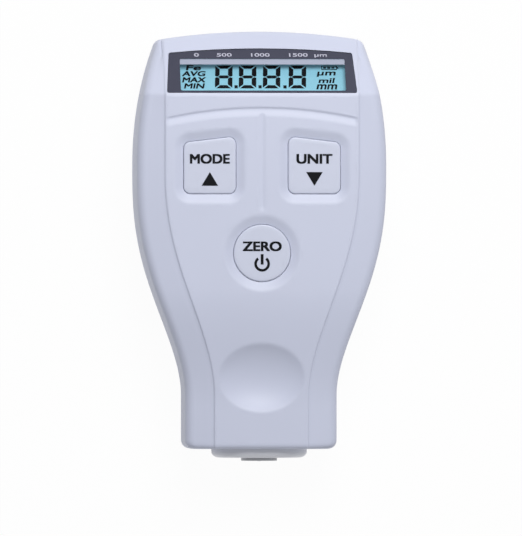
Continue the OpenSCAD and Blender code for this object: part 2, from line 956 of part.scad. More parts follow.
module probe_sleeve() {
    color([0.6, 0.6, 0.62])
        difference() {
            union() {
                on_probe(sleeve_y)
                    cylinder(sleeve_end_y - sleeve_y, r = sleeve_r);
                on_probe(stop_y)
                    cylinder(sleeve_flange_l, r = sleeve_flange_r);
            }
            on_probe(sleeve_y + sleeve_nose)
                cylinder(sleeve_end_y - sleeve_y, r = sleeve_bore_r);
            on_probe(sleeve_y - 1)
                cylinder(sleeve_nose + 2, r = core_r + core_clear);
        }
}

// Domed contact at the end of the core
module probe_tip() {
    dome_r = (core_r * core_r + tip_h * tip_h) / (2 * tip_h);
    color("silver")
        on_probe(y_tip)
            intersection() {
                translate([0, 0, dome_r])
                    sphere(dome_r);
                cylinder(tip_h, r = core_r);
            }
}

module probe_core() {
    color("dimgray")
        on_probe(y_tip + tip_h)
            cylinder(core_end_y - y_tip - tip_h, r = core_r);
}

module probe_coil() {
    color("chocolate")
        on_probe(sleeve_y + sleeve_nose)
            difference() {
                cylinder(core_end_y - sleeve_y - sleeve_nose, r = coil_r);
                translate([0, 0, -1])
                    cylinder(core_end_y - sleeve_y, r = core_r + core_clear);
            }
}

// Helical return spring between the sleeve's flange and the cap
module probe_spring() {
    mean_r = (sleeve_flange_r + sleeve_bore_r) / 2 + 0.4;
    seg = 16;
    sides = 6;
    rise = spring_space - 2 * wire_r;
    count = coil_turns * seg;
    points = [for (i = [0:count]) for (j = [0:sides - 1])
        let (
            a = 360 * i / seg,
            b = 360 * j / sides,
            r = mean_r + wire_r * cos(b)
        )
        [r * cos(a), r * sin(a), wire_r + rise * i / count + wire_r * sin(b)]];
    skin = [for (i = [0:count - 1]) for (j = [0:sides - 1])
        let (a = i * sides + j, b = i * sides + (j + 1) % sides)
        each [[a, b, b + sides], [a, b + sides, a + sides]]];
    ends = [
        [for (j = [sides - 1:-1:0]) j],
        [for (j = [0:sides - 1]) count * sides + j]
    ];
    color("silver")
        on_probe(sleeve_end_y)
            polyhedron(points, concat(skin, ends), convexity = 10);
}

// Lead from the cap up to the lower edge of the board
module probe_lead() {
    mid_z = board_z + board_t / 2;
    color("firebrick") {
        on_probe(cap_y)
            cylinder(lead_y - cap_y, r = lead_r);
        translate([0, lead_y, probe_z]) {
            sphere(lead_r);
            cylinder(mid_z - probe_z, r = lead_r);
        }
        translate([0, lead_y, mid_z]) {
            sphere(lead_r);
            rotate([-90, 0, 0])
                cylinder(board_y0 - lead_y, r = lead_r);
        }
    }
}

module screw(at, z, length) {
    translate([at[0], at[1], z]) {
        difference() {
            cylinder(head_l, r = head_r);
            translate([-head_r * 0.6, -0.3, -eps])
                cube([head_r * 1.2, 0.6, 0.6]);
            translate([-0.3, -head_r * 0.6, -eps])
                cube([0.6, head_r * 1.2, 0.6]);
        }
        translate([0, 0, head_l - eps])
            cylinder(length + eps, r = screw_r);
    }
}

module case_screws() {
    color("dimgray")
        both_sides()
            for (p = case_screws_at)
                screw(p, head_z, case_screw_l);
}

module board_screws() {
    color("silver")
        both_sides()
            for (p = board_screws_at)
                screw(p, board_z - head_l, board_screw_l);
}

front_shell();
rear_shell();
battery_door();
display_lens();
lcd_glass();
lcd_backlight();
lcd_holder();
lcd_ribbon();
mode_key();
mode_plunger();
unit_key();
unit_plunger();
zero_key();
zero_plunger();
tact_switches();
main_board();
board_chips();
buzzer();
battery_cells();
battery_springs();
battery_plates();
probe_holder();
probe_cap();
probe_sleeve();
probe_tip();
probe_core();
probe_coil();
probe_spring();
probe_lead();
case_screws();
board_screws();
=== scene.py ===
"""Looks of a pocket coating thickness gauge that lies on its back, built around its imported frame."""

import json
import math

import bmesh
import bpy
import numpy as np
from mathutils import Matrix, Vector


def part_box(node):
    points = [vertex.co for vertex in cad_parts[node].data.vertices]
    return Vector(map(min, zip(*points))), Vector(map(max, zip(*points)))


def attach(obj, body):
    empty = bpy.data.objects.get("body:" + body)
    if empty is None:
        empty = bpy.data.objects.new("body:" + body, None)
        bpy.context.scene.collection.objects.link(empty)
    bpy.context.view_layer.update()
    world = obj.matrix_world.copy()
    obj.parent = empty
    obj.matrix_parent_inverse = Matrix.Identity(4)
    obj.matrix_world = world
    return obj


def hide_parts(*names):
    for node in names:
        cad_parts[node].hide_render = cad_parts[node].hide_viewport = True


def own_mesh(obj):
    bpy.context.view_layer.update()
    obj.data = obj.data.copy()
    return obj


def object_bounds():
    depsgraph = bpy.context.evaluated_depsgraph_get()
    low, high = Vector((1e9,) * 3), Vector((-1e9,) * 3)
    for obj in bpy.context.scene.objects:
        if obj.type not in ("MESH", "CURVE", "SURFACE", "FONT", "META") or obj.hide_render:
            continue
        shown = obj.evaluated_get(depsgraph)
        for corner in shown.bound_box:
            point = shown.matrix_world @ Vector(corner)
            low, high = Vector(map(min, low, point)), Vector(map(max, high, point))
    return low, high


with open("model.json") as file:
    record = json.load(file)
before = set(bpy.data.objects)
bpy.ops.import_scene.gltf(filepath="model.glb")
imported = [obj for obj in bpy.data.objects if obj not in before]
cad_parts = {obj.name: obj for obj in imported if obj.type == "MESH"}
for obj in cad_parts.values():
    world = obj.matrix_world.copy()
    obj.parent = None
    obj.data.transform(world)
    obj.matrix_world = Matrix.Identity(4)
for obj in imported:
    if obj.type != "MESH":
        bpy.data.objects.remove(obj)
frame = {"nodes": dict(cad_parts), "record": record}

bl_info = {
    "name": "Coating thickness gauge",
    "version": (1, 0, 0),
    "blender": (4, 5, 0),
    "location": "3D View > Sidebar > Gauge",
    "description": "Moulded shells, keys, display, legends, probe, finishes and stage of a pocket gauge",
    "category": "Object",
}

MM = 0.001
CAD_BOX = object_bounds()


def span(node):
    """Lowest and highest corner of a CAD node, in millimetres."""
    low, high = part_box(node)
    return low / MM, high / MM


SHELL_LOW, SHELL_HIGH = span("front_shell")
KEY_LOW, KEY_HIGH = span("unit_key")
ZERO_LOW, ZERO_HIGH = span("zero_key")
LENS_HIGH = span("display_lens")[1]
DOOR_LOW, DOOR_HIGH = span("battery_door")
SCREW_LOW, SCREW_HIGH = span("case_screws")
CELL_LOW, CELL_HIGH = span("battery_cells")
PLATE_LOW, PLATE_HIGH = span("battery_plates")
HOLDER_LOW, HOLDER_HIGH = span("probe_holder")
SPRING_LOW, SPRING_HIGH = span("probe_spring")

# Places that follow from the frame, in millimetres
Y_TOP = SHELL_HIGH.y
Y_END = SHELL_LOW.y
PART_Z = SHELL_LOW.z
FACE_Z = SHELL_HIGH.z
CASE_HALF = SHELL_HIGH.x
BELLY_Y = Y_TOP - 35
SLOPE_Y = Y_TOP - 16.1
SLOPE = math.radians(40)
CROWN = 2.2
CORNER_Y = Y_TOP - CROWN
NECK_RUN = 58
FALL_Y = Y_TOP - 66
FALL_RUN = 30
THUMB_Y = Y_END + 18.3
GROOVE_Y = SLOPE_Y - 3.8

# Keys: the slanted upper edge runs from the inner to the outer height
FLANGE_W = 1.0
FLANGE_T = 1.0
FLANGE_GAP = 0.2
KEY_GAP = 0.1
KEY_DISH = 0.05
KEY_X = (KEY_LOW.x + KEY_HIGH.x) / 2
KEY_HALF = (KEY_HIGH.x - KEY_LOW.x) / 2 - FLANGE_W
KEY_Y0 = KEY_LOW.y + FLANGE_W
KEY_Y_IN = Y_TOP - 26.9
KEY_Y_OUT = Y_TOP - 28.5
KEY_TOP = KEY_HIGH.z
ZERO_Y = (ZERO_LOW.y + ZERO_HIGH.y) / 2
ZERO_R = (ZERO_HIGH.x - ZERO_LOW.x) / 2 - FLANGE_W
STEM_R = 2.0

# Outline and edges of the shells: bows, leans, least sizes and the seam between the halves
HEAD_BOW = 2.2
NECK_BOW = 1.4
PANEL_BOW = 1.22
FRONT_LEAN = 0.6
BACK_LEAN = 0.8
STEP_W = 0.5
BAND_MIN = 1.6
BAND_SPARE = 0.1
SHOULDER_MIN = 0.2
SIDE_MIN = 0.3
SEAM_D = 0.14
FRONT_FOOT = 0.02
BACK_FOOT = 0.06
SLOPE_SOFT = 0.35
REAR_WALL = 2.0

# Grooves of the panel: bow and both walls of the cross groove, reach and half width of the middle one
GROOVE_BOW = 2.7
GROOVE_UP = 0.55
GROOVE_DOWN = 2.2
GROOVE_END = 0.6
MIDDLE_PAST_KEYS = 4.6
MIDDLE_FADE = 1.5
MIDDLE_HALF = 0.85
MIDDLE_SHARE = 0.8

# Thumb rest and dishes: the ball, its soft rim, a dish's straight share and the share seen inside
BALL_H = 8.0
RIM_SOFT = 0.12
DISH_STRAIGHT = 0.75
UNDER_SHARE = 0.9

# Rear shell: battery door, nail notch, case screws and battery bay
DOOR_GAP = 0.25
DOOR_R = 0.05
DOOR_HOOK_L = 1.8
NAIL_OFF = 2.5
NAIL_D = 0.9
NAIL_SPREAD = 14
SCREW_HEAD_R = 2.2
SCREW_IN = 6.6
WELL_R = 2.5
WELL_D = 4.0
WELL_LIP = 0.02
SCREW_HOLE_R = 1.1
BOSS_R = 3.4
BOSS_H = 9.0
BAY_CLEAR = 0.4
BAY_WALL = 1.4
BACK_T = 1.9

# Probe holder: flange over the collar, neck in the end wall, bores of the sleeve and its chamber; spring
HOLDER_LIP = 0.3
HOLDER_NECK = 1.0
HOLDER_FLANGE_L = 1.4
HOLDER_PLAY = 0.1
COLLAR_W = 2 * HOLDER_HIGH.x - 2 * HOLDER_LIP
COLLAR_T = HOLDER_HIGH.z - HOLDER_LOW.z - 2 * HOLDER_LIP
PROBE_Z = (HOLDER_LOW.z + HOLDER_HIGH.z) / 2
SLEEVE_BORE_R = 4.9
CHAMBER_R = 6.3
TUBE_R = 7.5
STOP_Y = CAD_BOX[0].y / MM + 9
WIRE_R = 0.4
COIL_TURNS = 5

# Lens, display and print: depths under the slope, thicknesses, edges and sizes of lettering
LENS_SINK = 0.1
LENS_T = 1.0
LENS_R = 0.3
LENS_GAP = 0.1
LENS_SIDE_LEAN = 0.8
LENS_ARCH = 1.15
LENS_EDGE = 0.4
WINDOW_R = 0.4
WINDOW_FLARE = 1.1
PANE_LAP = 0.3
PANE_SINK = 0.4
PANE_T = 0.25
STRIP_T = 0.03
INK_T = 0.03
INK_LAYER = 0.002
BOLD_UP = 0.6
SIGN_H = 1.35
SIGN_BOLD = 0.09
SIGN_SLANT = 0.25
SCALE_H = 1.1
SCALE_W = 34.0
SCALE_BOLD = 0.04
WORD_H = 2.5
WORD_BOLD = 0.14
LCD_SHIFT = 0.4

# Scale of the photograph over the front, the middle and crown of the case in it, and places in it
PHOTO_W_PX = 522
PIXEL_MM = 0.2559
FACE_MID_PX = 261.9
CROWN_PX = 31.5
WINDOW_PX = (181.0, 58.9, 345.8, 90.9)
STRIP_ROW_PX = 64.2
SCALE_ROW_PX = 55.3
DIGITS_PX = ((214.6, 232.0), (238.4, 255.8), (262.4, 279.8), (288.2, 305.6))
DIGIT_ROWS_PX = (65.7, 88.8)
BATTERY_PX = (329, 68)
LEFT_SIGNS_PX = 193.6
RIGHT_SIGNS_PX = 326.0
KEY_WORD_ROW_PX = 159.2
ARROW_ROW_PX = 179.2
ZERO_WORD_ROW_PX = 246.3
POWER_ROW_PX = 263.7

# Points across half a row of a shell, rows along it and rows down each end wall
SIDE_N = 6
ARC_N = 7
BAND_N = 7
STEP_N = 4
PANEL_N = 54
BACK_SIDE_N = 4
BACK_ARC_N = 10
BACK_N = 46
FRONT_ROWS = 205
BACK_ROWS = 165
GROOVE_ROW = 0.2
END_ROWS = 6
END_SKIP = 8

# Points round the smaller pieces
ZERO_N = 72
STEM_N = 28
WELL_N = 40
LENS_N = 240
HOLDER_N = 96
RIM_N = 8
TURN_N = 40
WIRE_N = 12

# Reach within which points of a shell move onto an opening's edge, and tolerances for flat faces
FRONT_SNAP = 0.3
BACK_SNAP = 0.36
FLAT_TOL = 0.01
END_TOL = 0.05

# States of a grid's cell: whole, cut away, or else the corner that its triangle keeps
FULL = -1
EMPTY = -2

sizes_now = {}


def length(value, name, description):
    """A length property whose default is given in millimetres."""
    return bpy.props.FloatProperty(
        name=name, description=description, default=value * MM, unit="LENGTH", precision=4)


def colour(value, name, description):
    """A linear colour property."""
    return bpy.props.FloatVectorProperty(
        name=name, description=description, default=value, subtype="COLOR", size=3, min=0, max=1)


class GaugeSizes(bpy.types.PropertyGroup):
    """Sizes of the moulded details."""
    wall: length(2.2, "Wall", "Wall of the half shells")
    head_w: length(53.4, "Head width", "Width at the corners of the display end")
    neck_w: length(40, "Neck width", "Width at the probe end")
    neck_z: length(23.5, "Neck height", "Height of the front at the probe end")
    panel_w: length(50.1, "Panel width", "Width of the raised panel")
    panel_neck_w: length(24.6, "Panel neck", "Width of the raised panel at the probe end")
    step_h: length(0.4, "Panel step", "Height of the panel over the side bands")
    band_fall: length(0.8, "Band fall", "Fall of the side bands towards the shoulders")
    shoulder_r: length(2.5, "Shoulder", "Edge radius between side and front")
    end_r: length(1.2, "End radius", "Edge radius at both ends of the front")
    foot_r: length(2.2, "Foot radius", "Corner radius at the probe end, seen from the front")
    back_r: length(4.5, "Back radius", "Edge radius round the back")
    dish_d: length(0.9, "Dish depth", "Depth of the dishes round the keys")
    dish_w: length(2.3, "Dish width", "Width of the dishes round the keys")
    groove_d: length(0.32, "Groove depth", "Depth of the grooves in the panel")
    thumb_w: length(22, "Thumb rest width", "Width of the thumb rest")
    thumb_l: length(17.4, "Thumb rest length", "Length of the thumb rest")
    thumb_d: length(2.2, "Thumb rest depth", "Depth of the thumb rest")
    key_r: length(1.8, "Key corner", "Corner radius of the upper keys")
    key_edge: length(0.4, "Key edge", "Rounding of the keys' upper edges")
    collar_r: length(1.5, "Collar rim", "Height of the rounding of the probe collar's rim")
    collar_in: length(2.0, "Collar rim width", "Width of the rounding of the probe collar's rim")
    plunge: length(1.0, "Plunge", "Travel of the probe, which the return spring takes up")


class GaugeColours(bpy.types.PropertyGroup):
    """Colours of the finishes."""
    shell: colour((0.62, 0.65, 0.79), "Shell", "Moulded white of the case")
    key: colour((0.63, 0.66, 0.79), "Key", "White of the keys")
    mask: colour((0.058, 0.06, 0.092), "Lens mask", "Dark print behind the lens")
    lcd: colour((0.29, 0.62, 0.77), "Display", "Lit display")
    strip: colour((0.4, 0.43, 0.54), "Display edge", "Unlit strip over the lit display")
    ink: colour((0.003, 0.0035, 0.006), "Ink", "Legends and display segments")
    print_white: colour((0.5, 0.5, 0.6), "Scale print", "White print on the lens mask")
    # The collar is the case's white plastic; its colour is painted lighter than the shell's, painted light
    # that stands in for the light its faces turned away from the key light miss.
    collar: colour((0.88, 0.89, 0.95), "Collar", "White of the probe collar, painted lighter to stand in for light")


def sizes():
    """The size settings in millimetres, by name."""
    group = bpy.context.scene.gauge_sizes
    return {key: getattr(group, key) / MM for key in GaugeSizes.__annotations__}


def tint(name):
    """A colour setting as red, green, blue and alpha."""
    return (*getattr(bpy.context.scene.gauge_colours, name), 1.0)


class Term:
    """A shader value that takes part in Python arithmetic by adding Math nodes."""

    def __init__(self, look, socket):
        self.look = look
        self.socket = socket

    def join(self, operation, first, second):
        """A Math node on two terms or numbers."""
        made = self.look.node("ShaderNodeMath", {"operation": operation}, {0: first, 1: second})
        return Term(self.look, made.outputs[0])

    def __add__(self, other):
        return self.join("ADD", self, other)

    def __radd__(self, other):
        return self.join("ADD", other, self)

    def __mul__(self, other):
        return self.join("MULTIPLY", self, other)

    def __rmul__(self, other):
        return self.join("MULTIPLY", other, self)


class Finish:
    """Nodes of a material or of the world, written as expressions."""

    def __init__(self, owner, output="ShaderNodeOutputMaterial"):
        owner.use_nodes = True
        self.owner = owner
        self.tree = owner.node_tree
        self.tree.nodes.clear()
        self.output = self.node(output)

    def node(self, kind, settings=None, sockets=None, **inputs):
        """A node with its settings, then the values or links of its sockets, by index or by name."""
        made = self.tree.nodes.new(kind)
        for key, value in (settings or {}).items():
            setattr(made, key, value)
        named = {key.replace("_", " "): value for key, value in inputs.items()}
        for key, value in {**named, **(sockets or {})}.items():
            if isinstance(value, Term):
                value = value.socket
            if isinstance(value, bpy.types.NodeSocket):
                self.tree.links.new(value, made.inputs[key])
            else:
                made.inputs[key].default_value = value
        return made

    def noise(self, scale, detail=2.0, rough=0.5):
        """Noise over the object's own coordinates."""
        place = self.node("ShaderNodeTexCoord").outputs["Object"]
        made = self.node("ShaderNodeTexNoise", Vector=place, Scale=scale, Detail=detail, Roughness=rough)
        return Term(self, made.outputs[0])

    def blend(self, factor, first, second):
        """A colour between two colours."""
        made = self.node("ShaderNodeMix", {"data_type": "RGBA"}, {0: factor, 6: first, 7: second})
        return made.outputs[2]

    def tones(self, factor, rgba, dark, light):
        """A colour that varies between a darker and a lighter shade of one colour."""
        return self.blend(factor, shade(rgba, dark), shade(rgba, light))

    def bump(self, height, distance, strength):
        """A normal from a height."""
        made = self.node("ShaderNodeBump", Height=height, Distance=distance, Strength=strength)
        return made.outputs[0]

    def surface(self, shader):
        """Wires a shader to the output and gives the finished material or world."""
        self.tree.links.new(shader.outputs[0], self.output.inputs["Surface"])
        return self.owner

    def principled(self, **inputs):
        """The usual surface shader, wired to the output."""
        return self.surface(self.node("ShaderNodeBsdfPrincipled", None, None, **inputs))


def new_finish(name):
    """An empty material's nodes."""
    return Finish(bpy.data.materials.new(name))


def shade(rgba, factor):
    """A darker or lighter colour."""
    return (*(min(1.0, c * factor) for c in rgba[:3]), 1.0)


def moulded(name, rgba, roughness, grain=0.012, scale=5200, coat=0.0):
    """Moulded plastic: fine spark-eroded grain, faint flow marks and slightly uneven gloss."""
    look = new_finish(name)
    grain_noise = look.noise(scale, 3.0, 0.6)
    return look.principled(
        Base_Color=look.tones(look.noise(45), rgba, 0.975, 1.02),
        Roughness=roughness - 0.05 + 0.1 * grain_noise,
        Normal=look.bump(grain_noise, grain * MM, 0.5),
        Coat_Weight=coat,
        Coat_Roughness=0.25,
    )


def printed(name, rgba):
    """Screen-printed ink: slightly broken in tone and gloss."""
    look = new_finish(name)
    speck = look.noise(3800)
    base = look.tones(speck, rgba, 0.85, 1.15)
    return look.principled(Base_Color=base, Roughness=0.45 + 0.2 * speck, Specular_IOR_Level=0.15)


def plated(name, rgba, roughness):
    """Tinned or polished metal with fine brush marks."""
    look = new_finish(name)
    brushed = look.noise(2600, 3.0, 0.7)
    return look.principled(
        Base_Color=look.tones(brushed, rgba, 0.85, 1.05),
        Metallic=1.0,
        Roughness=roughness - 0.08 + 0.16 * brushed,
        Normal=look.bump(brushed, 0.004 * MM, 0.4),
    )


def new_piece(name, verts, faces, material, body, sharp=38):
    """A mesh piece from millimetre points, smooth but for its sharp edges, that rides on a body."""
    mesh = bpy.data.meshes.new(name)
    mesh.from_pydata([tuple(c * MM for c in v) for v in verts], [], faces)
    mesh.validate()
    mesh.shade_smooth()
    mesh.set_sharp_from_angle(angle=math.radians(sharp))
    piece = bpy.data.objects.new(name, mesh)
    bpy.context.scene.collection.objects.link(piece)
    mesh.materials.append(material)
    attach(piece, body)
    return piece


def tidy_mesh(piece):
    """Joins points that coincide, turns all faces outwards and keeps sharp edges."""
    work = bmesh.new()
    work.from_mesh(piece.data)
    bmesh.ops.remove_doubles(work, verts=work.verts, dist=1e-7)
    bmesh.ops.recalc_face_normals(work, faces=work.faces)
    work.to_mesh(piece.data)
    work.free()
    piece.data.shade_smooth()
    piece.data.set_sharp_from_angle(angle=math.radians(38))


def loft(rings, closed):
    """Skin through like rings; closed joins the last ring to the first, otherwise both ends get a face."""
    count = len(rings[0])
    faces = []
    for i in range(len(rings) if closed else len(rings) - 1):
        n = (i + 1) % len(rings)
        for k in range(count):
            m = (k + 1) % count
            faces.append((i * count + k, i * count + m, n * count + m, n * count + k))
    if not closed:
        last = (len(rings) - 1) * count
        faces += [tuple(reversed(range(count))), tuple(range(last, last + count))]
    return [p for ring in rings for p in ring], faces


def merged(parts):
    """Several meshes as one list of points and faces."""
    verts = []
    faces = []
    for part_verts, part_faces in parts:
        base = len(verts)
        verts += part_verts
        faces += [tuple(k + base for k in f) for f in part_faces]
    return verts, faces


def circle(x, y, r, count):
    """Points of a circle, anticlockwise."""
    turn = [2 * math.pi * k / count for k in range(count)]
    return np.array([(x + r * math.cos(a), y + r * math.sin(a)) for a in turn])


def level(outline, z):
    """Points of a flat outline at a height."""
    return [(p[0], p[1], z) for p in outline]


def prism(outline, to_point, depth):
    """Thin solid from a flat outline: to_point(x, y, n) places a point n above the face."""
    return loft([[to_point(x, y, n) for x, y in outline] for n in (0.0, depth)], False)


def ease(t):
    """Smooth step from 0 to 1."""
    t = np.clip(t, 0, 1)
    return t * t * (3 - 2 * t)


def edge_drop(r, d):
    """Drop of a rounded edge of radius r at distance d from the end."""
    d = min(max(d, 0), r)
    return r - math.sqrt(r * r - (r - d) ** 2)


def half_w(y):
    """Half width of the outline."""
    if y > BELLY_Y:
        rise = (y - BELLY_Y) / (CORNER_Y - BELLY_Y)
        return CASE_HALF - (CASE_HALF - sizes_now["head_w"] / 2) * rise ** HEAD_BOW
    fall = max(0, (BELLY_Y - y) / NECK_RUN)
    return CASE_HALF - (CASE_HALF - sizes_now["neck_w"] / 2) * float(ease(fall ** NECK_BOW))


def panel_half(y):
    """Half width of the raised panel, inside its step."""
    wide, narrow = sizes_now["panel_w"], sizes_now["panel_neck_w"]
    fall = max(0, (BELLY_Y - y) / NECK_RUN)
    return (wide - (wide - narrow) * float(ease(fall ** PANEL_BOW))) / 2 - STEP_W


def flat_z(y):
    """Height of the front without the display slope."""
    return FACE_Z - (FACE_Z - sizes_now["neck_z"]) * ease((FALL_Y - y) / FALL_RUN)


def front_z(y, inset=0.0):
    """Height of the front, or of a surface inset under it, with a softened edge at the slope."""
    flat = flat_z(y) - inset
    slope = FACE_Z - (y - SLOPE_Y) * math.tan(SLOPE) - inset / math.cos(SLOPE)
    gap = np.clip(0.5 + 0.5 * (slope - flat) / SLOPE_SOFT, 0, 1)
    return slope * (1 - gap) + flat * gap - SLOPE_SOFT * gap * (1 - gap)


def row_sag(v):
    """Bow of a row that keeps the crown of the display end."""
    return CROWN * float(ease((v - BELLY_Y) / (Y_TOP - BELLY_Y)))


def row_half(v, inset):
    """Half width of a row; the outer rows are rounded in at both ends."""
    half = half_w(v - row_sag(v)) - inset
    if inset > 0:
        return half
    corner = sizes_now["end_r"] if v > BELLY_Y else sizes_now["foot_r"]
    return half - edge_drop(corner, min(Y_TOP - v, v - Y_END))


def row_y(v, x):
    """Place along the body of points across a row."""
    return v - row_sag(v) * (x / half_w(v - row_sag(v))) ** 2


def full_row(v, xs, zs):
    """Points of a row from its half that runs from the parting line to the middle."""
    xs = np.array(xs)
    zs = np.array(zs)
    x = np.concatenate([-xs, xs[-2::-1]])
    z = np.concatenate([zs, zs[-2::-1]])
    return np.stack([x, row_y(v, x), z], axis=1)


def side_points(hw, lean, base, count, foot, seam):
    """Side wall from the parting line, which is a fine groove, to the height of its rounded edge."""
    xs = []
    zs = []
    for i in range(count):
        t = i / count
        xs.append(hw - lean * t - (seam if i == 0 else 0))
        zs.append(PART_Z + (base - PART_Z) * (t if i != 1 else foot))
    return xs, zs


def front_row(v, inset):
    """Points across the front shell from parting line to parting line, without the sunk details."""
    s = sizes_now
    hw = row_half(v, inset)
    side_x = hw - FRONT_LEAN
    panel = min(panel_half(v), hw - BAND_MIN)
    drop = edge_drop(s["end_r"], min(Y_TOP - v, v - Y_END)) if inset == 0 else 0

    def height(x):
        return float(front_z(row_y(v, x), inset)) - drop

    radius = max(SHOULDER_MIN, min(s["shoulder_r"], side_x - panel - STEP_W - BAND_SPARE))
    outer_z = height(side_x) - s["step_h"] - s["band_fall"]
    base = max(PART_Z + SIDE_MIN, outer_z - radius)
    xs, zs = side_points(hw, FRONT_LEAN, base, SIDE_N, FRONT_FOOT, SEAM_D if inset == 0 else 0)
    for a in np.linspace(0, math.pi / 2, ARC_N):
        xs.append(side_x - radius + radius * math.cos(a))
        zs.append(base + radius * math.sin(a))
    outer_z = zs[-1]
    inner_z = height(panel + STEP_W) - s["step_h"]
    for t in np.linspace(0, 1, BAND_N + 1)[1:]:
        xs.append(side_x - radius + (panel + STEP_W - side_x + radius) * t)
        zs.append(outer_z + (inner_z - outer_z) * t)
    edge_z = height(panel)
    for t in np.linspace(0, 1, STEP_N + 1)[1:]:
        xs.append(panel + STEP_W * (1 - t))
        zs.append(inner_z + (edge_z - inner_z) * float(ease(t)))
    for t in np.linspace(0, 1, PANEL_N + 1)[1:]:
        xs.append(panel * (1 - t))
        zs.append(height(panel * (1 - t)))
    return full_row(v, xs, zs)


def rear_row(v, inset):
    """Points across the rear shell from parting line to parting line."""
    high = sizes_now["back_r"]
    hw = row_half(v, inset)
    radius = high - inset / 2
    low = edge_drop(high, min(Y_TOP - v, v - Y_END)) if inset == 0 else REAR_WALL
    side_x = hw - BACK_LEAN
    xs, zs = side_points(hw, BACK_LEAN, high, BACK_SIDE_N, BACK_FOOT, SEAM_D if inset == 0 else 0)
    for a in np.linspace(0, math.pi / 2, BACK_ARC_N):
        xs.append(side_x - radius + radius * math.cos(a))
        zs.append(high - (high - low) * math.sin(a))
    for t in np.linspace(0, 1, BACK_N + 1)[1:]:
        xs.append((side_x - radius) * (1 - t))
        zs.append(low)
    return full_row(v, xs, zs)


def left_of(direction):
    """Direction a quarter turn to the left."""
    return np.array([-direction[1], direction[0]])


def corner_turns(corners, radius):
    """Centre of each corner's rounding and the directions before and after it, anticlockwise."""
    turns = []
    for i, corner in enumerate(corners):
        here = np.array(corner, float)
        d0 = here - np.array(corners[i - 1], float)
        d1 = np.array(corners[(i + 1) % len(corners)], float) - here
        d0 /= np.linalg.norm(d0)
        d1 /= np.linalg.norm(d1)
        n0, n1 = left_of(d0), left_of(d1)
        turns.append((here + (n0 + n1) * radius / (1 + n0 @ n1), d0, d1))
    return turns


def rounded_sdf(points, corners, radius):
    """Signed distance to a convex polygon with rounded corners; corners run anticlockwise."""
    centres = [turn[0] for turn in corner_turns(corners, radius)]
    best = np.full(len(points), 1e9)
    inside = np.full(len(points), -1e9)
    for a, b in zip(centres, centres[1:] + centres[:1]):
        along = b - a
        rel = points - a
        t = np.clip(rel @ along / (along @ along), 0, 1)
        best = np.minimum(best, np.linalg.norm(rel - t[:, None] * along, axis=1))
        inside = np.maximum(inside, rel @ -left_of(along) / np.linalg.norm(along))
    return np.where(inside > 0, best, inside) - radius


def arc_outline(corners, radius, grow, per_corner=10):
    """Points of a rounded polygon grown by a distance; corners run anticlockwise."""
    points = []
    for centre, d0, d1 in corner_turns(corners, radius):
        start = math.atan2(-left_of(d0)[1], -left_of(d0)[0])
        turn = math.atan2(d0[0] * d1[1] - d0[1] * d1[0], d0 @ d1)
        for k in range(per_corner + 1):
            a = start + turn * k / per_corner
            points.append(centre + (radius + grow) * np.array([math.cos(a), math.sin(a)]))
    return np.array(points)


def key_corners(side):
    """Corners of an upper key, anticlockwise; its top edge falls towards the side of the body."""
    x0, x1 = KEY_X - KEY_HALF, KEY_X + KEY_HALF
    points = [(x0, KEY_Y0), (x1, KEY_Y0), (x1, KEY_Y_OUT), (x0, KEY_Y_IN)]
    return points if side > 0 else [(-x, y) for x, y in reversed(points)]


def lens_corners():
    """Corners of the lens seen from the front, anticlockwise, with the arch of its upper edge."""
    half = LENS_HIGH.x
    top_half = half - LENS_SIDE_LEAN
    arch = [(top_half * f, LENS_HIGH.y - LENS_ARCH * f * f) for f in np.linspace(1, -1, 9)]
    low_y = SLOPE_Y + LENS_EDGE * math.cos(SLOPE)
    return [(-half, low_y), (half, low_y)] + arch


def key_fields():
    """Openings of the keys: signed distance functions over points seen from the front."""
    radius = sizes_now["key_r"]
    return [
        lambda p: rounded_sdf(p, key_corners(1), radius) - KEY_GAP,
        lambda p: rounded_sdf(p, key_corners(-1), radius) - KEY_GAP,
        lambda p: np.hypot(p[:, 0], p[:, 1] - ZERO_Y) - ZERO_R - KEY_GAP,
    ]


def lens_field(p):
    """Opening of the lens, as a signed distance over points seen from the front."""
    return rounded_sdf(p, lens_corners(), LENS_R) - LENS_GAP


def snap(points, fields, reach):
    """Moves points that lie close to an outline onto it. Returns which were moved and which are inside."""
    moved = np.zeros(len(points), bool)
    inside = np.zeros(len(points), bool)
    step = 0.01
    for field in fields:
        for _ in range(2):
            d = field(points)
            near = np.abs(d) < reach
            gx = (field(points + [step, 0]) - field(points - [step, 0])) / (2 * step)
            gy = (field(points + [0, step]) - field(points - [0, step])) / (2 * step)
            size = np.maximum(1e-6, np.hypot(gx, gy))
            shift = np.stack([gx, gy], axis=1) * (d / size)[:, None]
            points[near] -= shift[near]
            moved |= near
        inside |= field(points) < 2 * step
    return moved, inside


def dish_depth(points):
    """Depth of the dishes round the keys."""
    depth = np.zeros(len(points))
    for field in key_fields():
        ramp = np.clip(1 - field(points) / sizes_now["dish_w"], 0, 1)
        share = DISH_STRAIGHT * ramp + (1 - DISH_STRAIGHT) * ease(ramp)
        depth = np.maximum(depth, sizes_now["dish_d"] * share)
    return depth


def groove_depth(x, y):
    """Depth of the bowed groove over the keys and of the straight one between them."""
    half = sizes_now["panel_w"] / 2 - GROOVE_END
    bow = (half * half + GROOVE_BOW ** 2) / (2 * GROOVE_BOW)
    off = y - (GROOVE_Y - bow + np.sqrt(bow * bow - np.clip(x, -half, half) ** 2))
    wall = np.clip(1 - np.where(off > 0, off / GROOVE_UP, -off / GROOVE_DOWN), 0, 1)
    across = ease((half - np.abs(x)) / GROOVE_END) * ease(wall)
    run = ease((y - KEY_Y0 + MIDDLE_PAST_KEYS) / MIDDLE_FADE) * ease(GROOVE_Y - GROOVE_END - y)
    middle = MIDDLE_SHARE * run * ease(1 - np.abs(x) / MIDDLE_HALF)
    return sizes_now["groove_d"] * np.maximum(across, middle)


